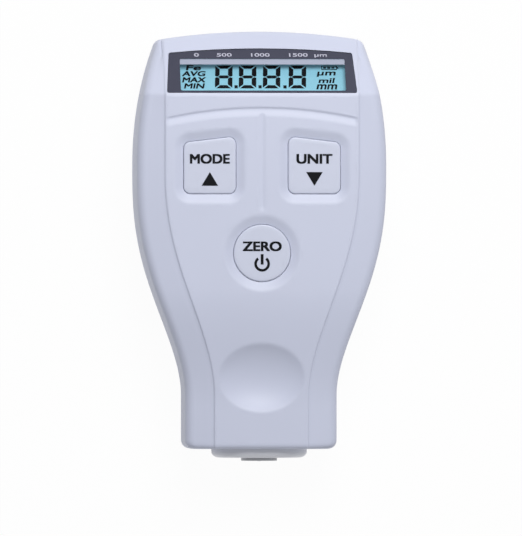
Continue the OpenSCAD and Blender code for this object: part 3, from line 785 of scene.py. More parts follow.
def thumb_depth(x, y):
    """Depth of the thumb rest, a shallow ball with a soft rim."""
    deep = sizes_now["thumb_d"]
    cut = math.sqrt(1 - ((BALL_H - deep) / BALL_H) ** 2)
    rx, ry = sizes_now["thumb_w"] / 2 / cut, sizes_now["thumb_l"] / 2 / cut
    ball = np.clip(1 - (x / rx) ** 2 - ((y - THUMB_Y) / ry) ** 2, 0, 1)
    rest = deep - BALL_H + BALL_H * np.sqrt(ball)
    rim = np.where(rest > -RIM_SOFT, (rest + RIM_SOFT) ** 2 / (4 * RIM_SOFT), 0)
    return np.where(rest > RIM_SOFT, rest, rim)


def sunk(points):
    """Depth of the dishes, grooves and thumb rest under the front, in millimetres."""
    x, y = points[:, 0], points[:, 1]
    return np.maximum(np.maximum(dish_depth(points), groove_depth(x, y)), thumb_depth(x, y))


def stations(radius, steps):
    """Rows along the body, close together at its rounded ends."""
    lead = [radius * (1 - math.cos(math.radians(a))) for a in range(0, 90, 18)]
    middle = list(np.linspace(Y_END + radius, Y_TOP - radius, steps))
    return [Y_END + d for d in lead] + middle + [Y_TOP - d for d in reversed(lead)]


def cut_cells(inside):
    """How much of each cell of a grid stays: all, none, or the triangle at its only corner outside."""
    corners = np.stack([inside[:-1, :-1], inside[:-1, 1:], inside[1:, 1:], inside[1:, :-1]])
    count = corners.sum(0)
    lone = np.argmin(corners, axis=0)
    return np.where(count == 4, EMPTY, np.where(count == 3, lone, FULL))


def thick_sheet(outer, inner, keep):
    """Closed skin from two grids of like rows: both sheets, and walls along every open edge."""
    rows, cols = outer.shape[:2]
    verts = np.concatenate([outer.reshape(-1, 3), inner.reshape(-1, 3)])
    shift = rows * cols
    faces = []
    edges = {}
    for i in range(rows - 1):
        for j in range(cols - 1):
            state = keep[i, j]
            if state == EMPTY:
                continue
            a = i * cols + j
            loop = (a, a + 1, a + cols + 1, a + cols)
            if state != FULL:
                loop = (loop[state - 1], loop[state], loop[(state + 1) % 4])
            faces.append(loop)
            faces.append(tuple(k + shift for k in reversed(loop)))
            for edge in zip(loop, loop[1:] + loop[:1]):
                if (edge[1], edge[0]) in edges:
                    del edges[(edge[1], edge[0])]
                else:
                    edges[edge] = True
    faces += [(b, a, a + shift, b + shift) for a, b in edges]
    return verts, faces


def end_rows(grid, last):
    """The grid with rows that close an end wall down to the parting line."""
    edge = grid[-1 if last else 0]
    rows = []
    for i in range(1, END_ROWS + 1):
        row = edge.copy()
        row[:, 2] = edge[:, 2] + (PART_Z - edge[:, 2]) * i / END_ROWS
        rows.append(row)
    return np.concatenate([grid, rows]) if last else np.concatenate([rows[::-1], grid])


def stadium_sdf(x, z, w, t, mid_z):
    """Signed distance to a stadium that lies across the lower end wall."""
    return np.hypot(np.maximum(np.abs(x) - (w - t) / 2, 0), z - mid_z) - t / 2


def shell_grid(row, vs):
    """Outer and inner grids of a half shell."""
    wall = sizes_now["wall"]
    outer = np.array([row(v, 0.0) for v in vs])
    inner = np.array([row(min(max(v, Y_END + wall), Y_TOP - wall), wall) for v in vs])
    return outer, inner


def shell_piece(name, outer, inner, inside, node, material):
    """A half shell's skin in place of its CAD node, with end walls and the opening of the probe's neck."""
    keep = cut_cells(inside)
    for last in (False, True):
        outer = end_rows(outer, last)
        inner = end_rows(inner, last)
    pad = np.full((END_ROWS, keep.shape[1]), FULL)
    keep = np.concatenate([pad, keep, pad])
    middle = (outer[:-1, :-1] + outer[1:, 1:]) / 2
    at_end = middle[:, :, 1] < Y_END + END_TOL
    neck_w, neck_t = COLLAR_W - 2 * HOLDER_NECK, COLLAR_T - 2 * HOLDER_NECK
    in_neck = stadium_sdf(middle[:, :, 0], middle[:, :, 2], neck_w, neck_t, PROBE_Z) < 0
    keep[at_end & in_neck] = EMPTY
    verts, faces = thick_sheet(outer, inner, keep)
    piece = new_piece(name, verts, faces, material, "case")
    tidy_mesh(piece)
    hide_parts(node)


class GAUGE_OT_front(bpy.types.Operator):
    """Front half shell with its panel, dishes, grooves, thumb rest and openings"""
    bl_idname = "gauge.front"
    bl_label = "Front shell"

    def execute(self, context):
        sizes_now.update(sizes())
        wall = sizes_now["wall"]
        fine = np.arange(GROOVE_Y - GROOVE_BOW - GROOVE_DOWN, GROOVE_Y + 2 * GROOVE_UP, GROOVE_ROW)
        vs = stations(sizes_now["end_r"], FRONT_ROWS)
        near = GROOVE_ROW / 2
        vs = sorted([v for v in vs if not fine[0] - near < v < fine[-1] + near] + list(fine))
        outer, inner = shell_grid(front_row, vs)
        rows, cols = outer.shape[:2]
        flat = outer.reshape(-1, 3)
        under = inner.reshape(-1, 3)
        plan = flat[:, :2].copy()
        on_panel = np.zeros((rows, cols), bool)
        edge = SIDE_N + ARC_N + BAND_N + STEP_N
        on_panel[END_SKIP:-END_SKIP, edge:cols - edge] = True
        on_panel = on_panel.reshape(-1)
        moved, inside = snap(plan, key_fields() + [lens_field], FRONT_SNAP)
        moved &= on_panel
        flat[moved, :2] = plan[moved]
        under[moved, :2] = plan[moved]
        flat[moved, 2] = front_z(plan[moved, 1])
        under[moved, 2] = front_z(plan[moved, 1], wall)
        deep = sunk(flat[:, :2]) * on_panel
        flat[:, 2] -= deep
        under[:, 2] -= deep * UNDER_SHARE
        inside = (inside & on_panel).reshape(rows, cols)
        look = moulded("shell moulding", tint("shell"), 0.46)
        shell_piece("front_skin", outer, inner, inside, "front_shell", look)
        return {"FINISHED"}


def screw_wells():
    """Centres of the case screws."""
    upper = (SCREW_HIGH.x - SCREW_HEAD_R, SCREW_HIGH.y - SCREW_HEAD_R)
    lower = (sizes_now["neck_w"] / 2 - SCREW_IN, SCREW_LOW.y + SCREW_HEAD_R)
    return [(side * x, y) for side in (-1, 1) for x, y in (upper, lower)]


def tub_mesh():
    """Walls and ceiling of the battery bay, seen when its door is open."""
    half = (CELL_HIGH.x - CELL_LOW.x) / 2 + BAY_CLEAR
    top = CELL_HIGH.z + BAY_CLEAR
    verts = []
    for grow in (0, BAY_WALL):
        x, y0, y1 = half + grow, PLATE_LOW.y - grow, PLATE_HIGH.y + grow
        for z in (BACK_T, top + grow):
            verts += level([(-x, y0), (x, y0), (x, y1), (-x, y1)], z)
    faces = [(7, 6, 5, 4), (12, 13, 14, 15)]
    for k in range(4):
        n = (k + 1) % 4
        faces += [(n, k, 4 + k, 4 + n), (8 + k, 8 + n, 12 + n, 12 + k), (k, n, 8 + n, 8 + k)]
    return verts, faces


def well_mesh(centres):
    """Wells of the case screws: a wall, a floor ring and an outer wall each."""
    profile = [
        (BOSS_R, BACK_T), (BOSS_R, BOSS_H), (SCREW_HOLE_R, BOSS_H),
        (SCREW_HOLE_R, WELL_D), (WELL_R, WELL_D), (WELL_R, WELL_LIP),
    ]
    return merged([loft([level(circle(x, y, r, WELL_N), z) for r, z in profile], True) for x, y in centres])


class GAUGE_OT_rear(bpy.types.Operator):
    """Rear half shell with its screw wells, nail notch and battery bay"""
    bl_idname = "gauge.rear"
    bl_label = "Rear shell"

    def execute(self, context):
        sizes_now.update(sizes())
        outer, inner = shell_grid(rear_row, stations(sizes_now["back_r"], BACK_ROWS))
        rows, cols = outer.shape[:2]
        flat = outer.reshape(-1, 3)
        under = inner.reshape(-1, 3)
        plan = flat[:, :2].copy()
        x0, y0 = DOOR_LOW.x - DOOR_GAP, DOOR_LOW.y + DOOR_HOOK_L - DOOR_GAP
        x1, y1 = DOOR_HIGH.x + DOOR_GAP, DOOR_HIGH.y + DOOR_GAP
        door = [(x0, y0), (x1, y0), (x1, y1), (x0, y1)]
        wells = screw_wells()
        fields = [lambda p: rounded_sdf(p, door, DOOR_R)]
        fields += [lambda p, c=c: np.hypot(p[:, 0] - c[0], p[:, 1] - c[1]) - WELL_R for c in wells]
        on_back = np.abs(flat[:, 2]) < FLAT_TOL
        moved, inside = snap(plan, fields, BACK_SNAP)
        moved &= on_back
        flat[moved, :2] = plan[moved]
        under[moved, :2] = plan[moved]
        nail = NAIL_D - (flat[:, 0] ** 2 + (flat[:, 1] - y1 - NAIL_OFF) ** 2) / NAIL_SPREAD
        flat[:, 2] += np.where(on_back, np.maximum(nail, 0), 0)
        inside = (inside & on_back).reshape(rows, cols)
        look = bpy.data.materials["shell moulding"]
        shell_piece("rear_skin", outer, inner, inside, "rear_shell", look)
        for name, made in (("battery_tub", tub_mesh()), ("screw_wells", well_mesh(wells))):
            piece = new_piece(name, *made, look, "case")
        return {"FINISHED"}


def key_mesh(outline, centre, flange_z, top_z, edge):
    """A key: flange, side, rounded upper edge and a faintly dished top. outline(grow) gives its plan."""
    steps = [(FLANGE_W, flange_z), (FLANGE_W, flange_z + FLANGE_T), (0.0, flange_z + FLANGE_T)]
    steps.append((0.0, top_z - edge))
    for a in range(18, 91, 18):
        t = math.radians(a)
        steps.append((-edge * (1 - math.cos(t)), top_z - edge + edge * math.sin(t)))
    rings = [level(outline(grow), z) for grow, z in steps]
    for f in (0.85, 0.6, 0.3):
        inner = np.array(centre) + (outline(-edge) - centre) * f
        rings.append(level(inner, top_z - KEY_DISH * (1 - f * f)))
    verts, faces = loft(rings, False)
    top = faces.pop()
    verts.append((*centre, top_z - KEY_DISH))
    faces += [(a, b, len(verts) - 1) for a, b in zip(top, top[1:] + top[:1])]
    return verts, faces


class GAUGE_OT_keys(bpy.types.Operator):
    """Two upper keys and the round lower key"""
    bl_idname = "gauge.keys"
    bl_label = "Keys"

    def execute(self, context):
        sizes_now.update(sizes())
        s = sizes_now
        look = moulded("key moulding", tint("key"), 0.4, 0.008, 7000)
        key_y = (KEY_Y0 + KEY_Y_IN) / 2
        plans = {
            "mode": (lambda g: arc_outline(key_corners(-1), s["key_r"], g), (-KEY_X, key_y)),
            "unit": (lambda g: arc_outline(key_corners(1), s["key_r"], g), (KEY_X, key_y)),
            "zero": (lambda g: circle(0.0, ZERO_Y, ZERO_R + g, ZERO_N), (0.0, ZERO_Y)),
        }
        flange_z = FACE_Z - s["wall"] - s["dish_d"] - FLANGE_GAP - FLANGE_T
        for name, (outline, centre) in plans.items():
            low, high = span(f"{name}_key")
            body = f"{name}_button"
            cap_mesh = key_mesh(outline, centre, flange_z, high.z, s["key_edge"])
            cap = new_piece(f"{name}_cap", *cap_mesh, look, body, 50)
            stem_mesh = loft([level(circle(*centre, STEM_R, STEM_N), z) for z in (low.z, flange_z)], False)
            stem = new_piece(f"{name}_stem", *stem_mesh, look, body)
            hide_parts(f"{name}_key")
        return {"FINISHED"}


def photo_x(px):
    """Millimetres across the front at a column of the photograph."""
    return (px - FACE_MID_PX) * PIXEL_MM


def photo_y(py):
    """Millimetres along the front at a row of the photograph."""
    return Y_TOP - (py - CROWN_PX) * PIXEL_MM


def over_slope(x, y, n):
    """Point n out of the slope over the slope's point that is seen at (x, y) from the front."""
    v = (y - SLOPE_Y) / math.cos(SLOPE)
    return (x, y + n * math.sin(SLOPE), FACE_Z - v * math.sin(SLOPE) + n * math.cos(SLOPE))


def lcd_point(x, y, n):
    """Place of display ink that is seen at (x, y) from the front, n above the glass."""
    out = n - sizes_now["wall"]
    return over_slope(x + LCD_SHIFT, y - out * math.sin(SLOPE), out)


def ray_points(outline):
    """Points of an outline on rays from its middle, so that like points of two outlines lie together."""
    closed = np.vstack([outline, outline[:1]])
    low, high = outline.min(0), outline.max(0)
    mid = (low + high) / 2
    points = []
    for a in np.linspace(0, 2 * math.pi, LENS_N, endpoint=False):
        ray = np.array([math.cos(a), math.sin(a)]) * (high - low)
        hit = None
        for p, q in zip(closed[:-1], closed[1:]):
            sides = np.stack([ray, p - q], axis=1)
            if abs(np.linalg.det(sides)) < 1e-9:
                continue
            t, u = np.linalg.solve(sides, p - mid)
            if t > 0 and -1e-6 <= u <= 1 + 1e-6:
                hit = mid + ray * t
        points.append(hit)
    return points


def ring_plate(outline, window, top, bottom):
    """Plate on the display slope between an outline and a window that widens inwards."""
    rim = ray_points(outline)
    hole = ray_points(window)
    middle = (window.min(0) + window.max(0)) / 2
    flare = [p + np.sign(p - middle) * WINDOW_FLARE for p in hole]
    loops = ((rim, bottom), (rim, top), (hole, top), (flare, bottom))
    return loft([[over_slope(p[0], p[1], n) for p in loop] for loop, n in loops], True)


# Segments of a digit: corners of the strokes in a box one wide and one high
SEGMENTS = {
    "a": ((0.08, 1.0), (0.92, 1.0), (0.70, 0.86), (0.30, 0.86)),
    "b": ((1.0, 0.97), (1.0, 0.54), (0.88, 0.51), (0.74, 0.57), (0.74, 0.83)),
    "c": ((1.0, 0.46), (1.0, 0.03), (0.74, 0.17), (0.74, 0.43), (0.88, 0.49)),
    "d": ((0.30, 0.14), (0.70, 0.14), (0.92, 0.0), (0.08, 0.0)),
    "e": ((0.0, 0.46), (0.12, 0.49), (0.26, 0.43), (0.26, 0.17), (0.0, 0.03)),
    "f": ((0.0, 0.97), (0.26, 0.83), (0.26, 0.57), (0.12, 0.51), (0.0, 0.54)),
    "g": ((0.16, 0.5), (0.3, 0.565), (0.7, 0.565), (0.84, 0.5), (0.7, 0.435), (0.3, 0.435)),
}
DIGIT_SLANT = 0.35
POINT_HALF = 0.42
POINT_H = 0.8


def facing_up(outline):
    """The outline in anticlockwise order."""
    turn = sum(a[0] * b[1] - b[0] * a[1] for a, b in zip(outline, outline[1:] + outline[:1]))
    return outline if turn > 0 else outline[::-1]


def lcd_bar(x0, y0, x1, y1):
    """Upright box of display ink."""
    return prism([(x0, y0), (x1, y0), (x1, y1), (x0, y1)], lcd_point, INK_T)


def digit_parts():
    """Segments of four digits and the points between them."""
    y1, y0 = (photo_y(py) for py in DIGIT_ROWS_PX)
    parts = []
    for left, right in DIGITS_PX:
        x0, x1 = photo_x(left), photo_x(right)
        for stroke in SEGMENTS.values():
            outline = [
                (x0 + (x1 - x0) * fx + DIGIT_SLANT * (fy - 0.5), y0 + (y1 - y0) * fy) for fx, fy in stroke]
            parts.append(prism(facing_up(outline), lcd_point, INK_T))
    for (_, left), (right, _) in zip(DIGITS_PX, DIGITS_PX[1:]):
        x = (photo_x(left) + photo_x(right)) / 2
        parts.append(lcd_bar(x - POINT_HALF, y0, x + POINT_HALF, y0 + POINT_H))
    return parts


def battery_parts():
    """Full battery sign of the display."""
    x, y = photo_x(BATTERY_PX[0]), photo_y(BATTERY_PX[1])
    half_x, half_y, line = 2.0, 0.55, 0.2
    nub_half, nub_l = 0.25, 0.35
    cell_in, cell_pitch, cell_w, cell_edge = 0.5, 1.05, 0.75, 0.35
    left, right, low, high = x - half_x, x + half_x, y - half_y, y + half_y
    parts = [
        lcd_bar(left, high - line, right, high),
        lcd_bar(left, low, right, low + line),
        lcd_bar(left, low + line, left + line, high - line),
        lcd_bar(right - line, low + line, right, high - line),
        lcd_bar(right, y - nub_half, right + nub_l, y + nub_half),
    ]
    for k in range(3):
        cell = left + cell_in + k * cell_pitch
        parts.append(lcd_bar(cell, low + cell_edge, cell + cell_w, high - cell_edge))
    return parts


def lettering(name, text, height, to_point, material, body, width, bold, slant=0.0):
    """Printed lettering as a thin mesh: centred text of a height and width in mm.

    to_point(x, y, n) places a point of the flat text n above the face it is printed on. Copies that
    are shifted by the bold distance thicken its strokes, each a hair higher than the last.
    """
    curve = bpy.data.curves.new(name, "FONT")
    curve.body = text
    curve.align_x = "CENTER"
    curve.align_y = "CENTER"
    curve.extrude = 0.5
    curve.resolution_u = 6
    maker = bpy.data.objects.new(name, curve)
    bpy.context.scene.collection.objects.link(maker)
    shape = maker.evaluated_get(bpy.context.evaluated_depsgraph_get()).to_mesh()
    points = np.array([v.co for v in shape.vertices])
    faces = [tuple(f.vertices) for f in shape.polygons]
    bpy.data.objects.remove(maker)
    low, high = points.min(0), points.max(0)
    middle = (low + high) / 2
    scale_y = (height - 2 * BOLD_UP * bold) / (high[1] - low[1])
    scale_x = (width - 2 * bold) / (high[0] - low[0])
    shifts = ((0, 0), (1, 1), (1, -1), (-1, 1), (-1, -1), (1, 0), (-1, 0))
    parts = []
    for k, (sx, sy) in enumerate(shifts):
        placed = []
        for px, py, pz in points:
            y = (py - middle[1]) * scale_y + sy * bold * BOLD_UP
            x = (px - middle[0]) * scale_x + slant * y + sx * bold
            placed.append(to_point(x, y, INK_T + INK_LAYER * k if pz > 0 else 0.0))
        parts.append((placed, faces))
    return new_piece(name, *merged(parts), material, body, 20)


def mask_finish():
    """Dark glossy print behind the lens."""
    look = new_finish("lens mask")
    swirl = look.noise(160)
    return look.principled(
        Base_Color=look.tones(swirl, tint("mask"), 0.93, 1.07), Roughness=0.22 + 0.06 * swirl,
        Coat_Weight=0.35, Coat_Roughness=0.08)


def pane_finish():
    """Clear window of the lens with a trace of haze."""
    look = new_finish("lens pane")
    haze = look.noise(90)
    return look.principled(
        Base_Color=(0.02, 0.02, 0.025, 1), Roughness=0.06 + 0.05 * haze, Alpha=0.03 + 0.03 * haze)


def lcd_finish():
    """Display lit from behind, faintly cloudy."""
    look = new_finish("lit display")
    cloud = look.noise(260)
    lit = look.tones(cloud, tint("lcd"), 0.97, 1.03)
    return look.principled(
        Base_Color=lit, Roughness=0.3 + 0.05 * cloud, Emission_Color=lit, Emission_Strength=0.12)


def set_finish(node, material):
    """Gives a CAD node its one material."""
    materials = frame["nodes"][node].data.materials
    materials.clear()
    materials.append(material)


class GAUGE_OT_display(bpy.types.Operator):
    """Lens with its dark mask, lit display, display segments and the scale printed on the mask"""
    bl_idname = "gauge.display"
    bl_label = "Display"

    def execute(self, context):
        sizes_now.update(sizes())
        x0, x1 = photo_x(WINDOW_PX[0]), photo_x(WINDOW_PX[2])
        y1, y0 = photo_y(WINDOW_PX[1]), photo_y(WINDOW_PX[3])
        outline = arc_outline(lens_corners(), LENS_R, 0.0, 4)
        window = arc_outline([(x0, y0), (x1, y0), (x1, y1), (x0, y1)], WINDOW_R, 0.0, 6)
        plate = ring_plate(outline, window, -LENS_SINK, -LENS_SINK - LENS_T)
        mask = new_piece("lens_mask", *plate, mask_finish(), "case", 30)
        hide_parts("display_lens")

        def on_pane(x, y, n):
            return over_slope(x, y, n - LENS_SINK - PANE_SINK)

        def on_pane_top(x, y, n):
            return on_pane(x, y, n + PANE_T)

        def on_mask(x, y, n):
            return over_slope(x, photo_y(SCALE_ROW_PX) + y, n - LENS_SINK)

        def on_lcd(px, py):
            return lambda x, y, n: lcd_point(photo_x(px) + x, photo_y(py) + y, n)

        px0, px1, py0, py1 = x0 - PANE_LAP, x1 + PANE_LAP, y0 - PANE_LAP, y1 + PANE_LAP
        pane = [(px0, py0), (px1, py0), (px1, py1), (px0, py1)]
        window_pane = new_piece("lens_pane", *prism(pane, on_pane, PANE_T), pane_finish(), "case", 20)
        set_finish("lcd_glass", lcd_finish())

        strip_y = photo_y(STRIP_ROW_PX)
        strip = [(x0, strip_y), (x1, strip_y), (x1, y1), (x0, y1)]
        strip_look = moulded("display edge", tint("strip"), 0.35, 0.004)
        new_piece("lcd_edge", *prism(strip, on_pane_top, STRIP_T), strip_look, "case", 20)
        ink = printed("display ink", tint("ink"))
        new_piece("lcd_segments", *merged(digit_parts() + battery_parts()), ink, "case", 20)
        left = (("Fe", 68.0, 3.8), ("AVG", 74.0, 5.9), ("MAX", 80.2, 5.9), ("MIN", 86.4, 5.1))
        right = (("µm", 74.4, 4.7), ("mil", 80.8, 4.0), ("mm", 87.2, 5.2))
        for column, words, px in (("left", left, LEFT_SIGNS_PX), ("right", right, RIGHT_SIGNS_PX)):
            for k, (word, py, width) in enumerate(words):
                lettering(f"lcd_{column}_{k}", word, SIGN_H, on_lcd(px, py), ink, "case", width,
                          SIGN_BOLD, SIGN_SLANT)
        white = printed("scale print", tint("print_white"))
        scale = "0      500      1000      1500  µm"
        lettering("scale_print", scale, SCALE_H, on_mask, white, "case", SCALE_W, SCALE_BOLD)
        return {"FINISHED"}


class GAUGE_OT_legends(bpy.types.Operator):
    """Legends of the keys: function words, arrows and the power sign"""
    bl_idname = "gauge.legends"
    bl_label = "Legends"

    def execute(self, context):
        sizes_now.update(sizes())
        ink = printed("legend ink", tint("ink"))
        arrow_half, arrow_h = 2.1, 1.75

        def on_key(x0, py):
            y0 = photo_y(py)
            return lambda x, y, n: (x0 + x, y0 + y, KEY_TOP + (n if n > 0 else -KEY_DISH))

        upper_keys = (("mode", "MODE", -KEY_X, 1, 10.2), ("unit", "UNIT", KEY_X, -1, 9.2))
        for name, word, x, up, width in upper_keys:
            body = f"{name}_button"
            lettering(f"{name}_word", word, WORD_H, on_key(x, KEY_WORD_ROW_PX), ink, body, width, WORD_BOLD)
            foot, tip = -arrow_h * up, arrow_h * up
            arrow = facing_up([(-arrow_half, foot), (arrow_half, foot), (0, tip)])
            new_piece(f"{name}_arrow", *prism(arrow, on_key(x, ARROW_ROW_PX), INK_T), ink, body, 20)
        on_zero = on_key(0, ZERO_WORD_ROW_PX)
        lettering("zero_word", "ZERO", WORD_H, on_zero, ink, "zero_button", 10.0, WORD_BOLD)
        outer, inner, gap = 2.0, 1.34, math.radians(38)
        turn = np.linspace(math.pi / 2 + gap, 5 * math.pi / 2 - gap, 49)
        ring = [(outer * math.cos(a), outer * math.sin(a)) for a in turn]
        ring += [(inner * math.cos(a), inner * math.sin(a)) for a in turn[::-1]]
        bar_half, bar_low, bar_high = 0.36, -0.2, 2.45
        bar = [(-bar_half, bar_low), (bar_half, bar_low), (bar_half, bar_high), (-bar_half, bar_high)]
        parts = [prism(facing_up(o), on_key(0, POWER_ROW_PX), INK_T) for o in (ring, bar)]
        new_piece("power_sign", *merged(parts), ink, "zero_button", 20)
        return {"FINISHED"}


def stadium_ring(w, t, y):
    """Ring of points round a stadium on the probe's axis, or round a circle if both sizes are alike."""
    ring = []
    for k in range(HOLDER_N):
        a = 2 * math.pi * (k + 0.5) / HOLDER_N
        side = math.copysign((w - t) / 2, math.cos(a))
        ring.append((side + t / 2 * math.cos(a), y, PROBE_Z + t / 2 * math.sin(a)))
    return ring


def holder_mesh():
    """Collar with a rounded rim, neck, flange and tube of the probe."""
    start_y, end_y = HOLDER_LOW.y, HOLDER_HIGH.y
    flange_y = Y_END + sizes_now["wall"] + HOLDER_PLAY
    shoulder_y = flange_y + HOLDER_FLANGE_L
    stadiums = []
    for a in np.linspace(0, math.pi / 2, RIM_N):
        rim_in = sizes_now["collar_in"] * (1 - math.sin(a))
        stadiums.append((-rim_in, start_y + sizes_now["collar_r"] * (1 - math.cos(a))))
    stadiums += [(0, Y_END), (-HOLDER_NECK, Y_END), (-HOLDER_NECK, flange_y),
                 (HOLDER_LIP, flange_y), (HOLDER_LIP, shoulder_y)]
    circles = [(TUBE_R, shoulder_y), (TUBE_R, end_y), (CHAMBER_R, end_y), (CHAMBER_R, STOP_Y),
               (SLEEVE_BORE_R, STOP_Y), (SLEEVE_BORE_R, start_y)]
    rings = [stadium_ring(COLLAR_W + 2 * grow, COLLAR_T + 2 * grow, y) for grow, y in stadiums]
    rings += [stadium_ring(2 * r, 2 * r, y) for r, y in circles]
    return loft(rings, True)


def spring_mesh():
    """Helical return spring of the probe."""
    mid_z = (SPRING_LOW.z + SPRING_HIGH.z) / 2
    mean_r = SPRING_HIGH.x - WIRE_R
    count = COIL_TURNS * TURN_N
    rings = []
    for i in range(count + 1):
        a = 2 * math.pi * i / TURN_N
        y = SPRING_LOW.y + WIRE_R + (SPRING_HIGH.y - SPRING_LOW.y - 2 * WIRE_R) * i / count
        ring = []
        for out, along in circle(mean_r, y, WIRE_R, WIRE_N):
            ring.append((out * math.cos(a), along, mid_z + out * math.sin(a)))
        rings.append(ring)
    return loft(rings, False)


class GAUGE_OT_probe(bpy.types.Operator):
    """Probe collar with its rounded rim, and the return spring"""
    bl_idname = "gauge.probe"
    bl_label = "Probe"

    def execute(self, context):
        sizes_now.update(sizes())
        # Painted light: the collar's colour is lighter than the case's white to stand in for light on its
        # faces turned away from the key light.
        collar_painted_light_look = moulded("collar moulding painted lighter", tint("collar"), 0.42)
        collar = new_piece("probe_collar", *holder_mesh(), collar_painted_light_look, "case")
        tidy_mesh(collar)
        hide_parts("probe_holder")
        spring_look = plated("spring wire", (0.62, 0.62, 0.62, 1), 0.35)
        spring = new_piece("return_spring", *spring_mesh(), spring_look, "case")
        tidy_mesh(spring)
        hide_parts("probe_spring")
        low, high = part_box("probe_spring")
        run = high.y - low.y
        1 - sizes_now["plunge"] * MM / run
        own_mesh(spring)
        return {"FINISHED"}


class GAUGE_OT_finishes(bpy.types.Operator):
    """Finishes of the pieces that keep their CAD form, by material slot"""
    bl_idname = "gauge.finishes"
    bl_label = "Finishes"

    def execute(self, context):
        looks = {
            "shell_white": bpy.data.materials["shell moulding"],
            "key_white": bpy.data.materials["key moulding"],
            # Grey plastic takes the collar's finish, whose colour is painted lighter to stand in for light.
            "grey_plastic": bpy.data.materials["collar moulding painted lighter"],
            "sleeve_grey": moulded("sleeve moulding", (0.6, 0.605, 0.63, 1), 0.38),
            "light_guide": moulded("light guide", (0.75, 0.88, 0.92, 1), 0.3, 0.004),
            "ribbon": moulded("ribbon film", (0.5, 0.27, 0.05, 1), 0.35, 0.004),
            "board_green": moulded("solder mask", (0.02, 0.16, 0.07, 1), 0.35, 0.01, 2600, 0.4),
            "black_plastic": moulded("black moulding", (0.02, 0.02, 0.022, 1), 0.45),
            "cell_wrap": moulded("cell wrap", (0.045, 0.05, 0.06, 1), 0.25, 0.004, 3000, 0.5),
            "lead_red": moulded("lead sleeve", (0.4, 0.03, 0.025, 1), 0.5),
            "tin": plated("tinned steel", (0.62, 0.62, 0.62, 1), 0.35),
            "steel": plated("polished steel", (0.72, 0.72, 0.74, 1), 0.18),
            "ferrite": moulded("ferrite", (0.06, 0.06, 0.065, 1), 0.5),
            "copper": plated("copper winding", (0.75, 0.32, 0.14, 1), 0.35),
        }
        for part in frame["record"]["subparts"]:
            if part["material_slot"] in looks:
                set_finish(part["node"], looks[part["material_slot"]])
        return {"FINISHED"}


# Stage: floor, lamps with their place, size and power in metres and watts, and camera
FLOOR_HALF = 3.0
FLOOR_Z = -0.0004
FLOOR_GLOW = 0.96
LAMPS = (
    ("key_light", (0.05, 0.31, 0.47), 0.3, 2.35),
    ("fill_light", (0.5, 0.1, 0.9), 0.8, 0.4),
    ("low_light", (0.05, -0.6, 0.3), 0.5, 0.4),
)
AMBIENT = 0.26
WHITE = (1, 1, 1, 1)
CAMERA_AT = Vector((0.38, -5.5, 14.0)) * MM
CAMERA_AWAY = 3.0
CAMERA_LEAN = math.radians(3.2)
SENSOR_W = 36


def floor_finish():
    """White sweep that keeps a faint shadow; only rays that look at it see it glow."""
    look = new_finish("white sweep")
    base = look.blend(look.noise(6), (0.9, 0.9, 0.9, 1), (0.93, 0.93, 0.93, 1))
    matte = look.node("ShaderNodeBsdfDiffuse", Color=base)
    glow = look.node("ShaderNodeEmission", Color=WHITE, Strength=1.0)
    path = look.node("ShaderNodeLightPath")
    seen, glossy, through = (
        Term(look, path.outputs[f"Is {kind} Ray"]) for kind in ("Camera", "Glossy", "Transmission"))
    direct = seen.join("MAXIMUM", seen.join("MAXIMUM", seen, glossy), through)
    shaders = {0: direct * FLOOR_GLOW, 1: matte.outputs[0], 2: glow.outputs[0]}
    return look.surface(look.node("ShaderNodeMixShader", None, shaders))


def world_light():
    """White background and soft ambient light."""
    look = Finish(bpy.data.worlds.new("studio"), "ShaderNodeOutputWorld")
    soft = look.node("ShaderNodeBackground", Color=(0.95, 0.97, 1.0, 1), Strength=AMBIENT)
    white = look.node("ShaderNodeBackground", Color=WHITE)
    seen = look.node("ShaderNodeLightPath").outputs["Is Camera Ray"]
    shaders = {0: seen, 1: soft.outputs[0], 2: white.outputs[0]}
    return look.surface(look.node("ShaderNodeMixShader", None, shaders))


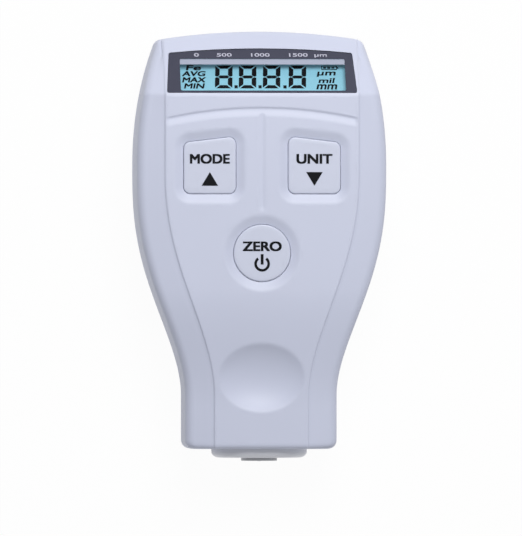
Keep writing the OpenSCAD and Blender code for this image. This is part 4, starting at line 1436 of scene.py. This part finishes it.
class GAUGE_OT_stage(bpy.types.Operator):
    """Pale floor, soft studio light and a camera straight over the front"""
    bl_idname = "gauge.stage"
    bl_label = "Stage"

    def execute(self, context):
        scene = context.scene
        scene.view_settings.view_transform = "Standard"
        mesh = bpy.data.meshes.new("floor")
        corners = [(x * FLOOR_HALF, y * FLOOR_HALF, 0) for x, y in ((-1, -1), (1, -1), (1, 1), (-1, 1))]
        mesh.from_pydata(corners, [], [(0, 1, 2, 3)])
        floor = bpy.data.objects.new("floor", mesh)
        floor.location.z = FLOOR_Z
        scene.collection.objects.link(floor)
        mesh.materials.append(floor_finish())
        scene.world = world_light()
        for name, where, size, power in LAMPS:
            lamp = bpy.data.lights.new(name, "AREA")
            lamp.size = size
            lamp.energy = power
            holder = bpy.data.objects.new(name, lamp)
            holder.location = where
            holder.rotation_euler = (-Vector(where)).to_track_quat("-Z", "Y").to_euler()
            scene.collection.objects.link(holder)
        cam_data = bpy.data.cameras.new("camera")
        cam_data.sensor_fit = "HORIZONTAL"
        cam_data.sensor_width = SENSOR_W
        cam_data.lens = SENSOR_W * CAMERA_AWAY / (PHOTO_W_PX * PIXEL_MM * MM)
        camera = bpy.data.objects.new("camera", cam_data)
        lean = Vector((-math.sin(CAMERA_LEAN), 0, math.cos(CAMERA_LEAN)))
        camera.location = CAMERA_AT + lean * CAMERA_AWAY
        camera.rotation_euler = (0, -CAMERA_LEAN, 0)
        scene.collection.objects.link(camera)
        scene.camera = camera
        return {"FINISHED"}


class GAUGE_PT_panel(bpy.types.Panel):
    """Lists the steps of the build"""
    bl_idname = "GAUGE_PT_panel"
    bl_label = "Coating thickness gauge"
    bl_space_type = "VIEW_3D"
    bl_region_type = "UI"
    bl_category = "Gauge"

    def draw(self, context):
        for step in STEPS:
            self.layout.operator(step.bl_idname)


STEPS = (GAUGE_OT_front, GAUGE_OT_rear, GAUGE_OT_keys, GAUGE_OT_display, GAUGE_OT_legends,
         GAUGE_OT_probe, GAUGE_OT_finishes, GAUGE_OT_stage)
GROUPS = (GaugeSizes, GaugeColours)


def register():
    """Registers the settings, the steps and the panel."""
    for cls in (*GROUPS, *STEPS, GAUGE_PT_panel):
        bpy.utils.register_class(cls)
    bpy.types.Scene.gauge_sizes = bpy.props.PointerProperty(type=GaugeSizes)
    bpy.types.Scene.gauge_colours = bpy.props.PointerProperty(type=GaugeColours)


def unregister():
    """Takes the settings, the steps and the panel away again."""
    del bpy.types.Scene.gauge_sizes
    del bpy.types.Scene.gauge_colours
    for cls in reversed((*GROUPS, *STEPS, GAUGE_PT_panel)):
        bpy.utils.unregister_class(cls)


def main():
    """Builds the pieces in order."""
    register()
    for step in STEPS:
        group, name = step.bl_idname.split(".")
        getattr(getattr(bpy.ops, group), name)()


if __name__ == "__main__":
    main()
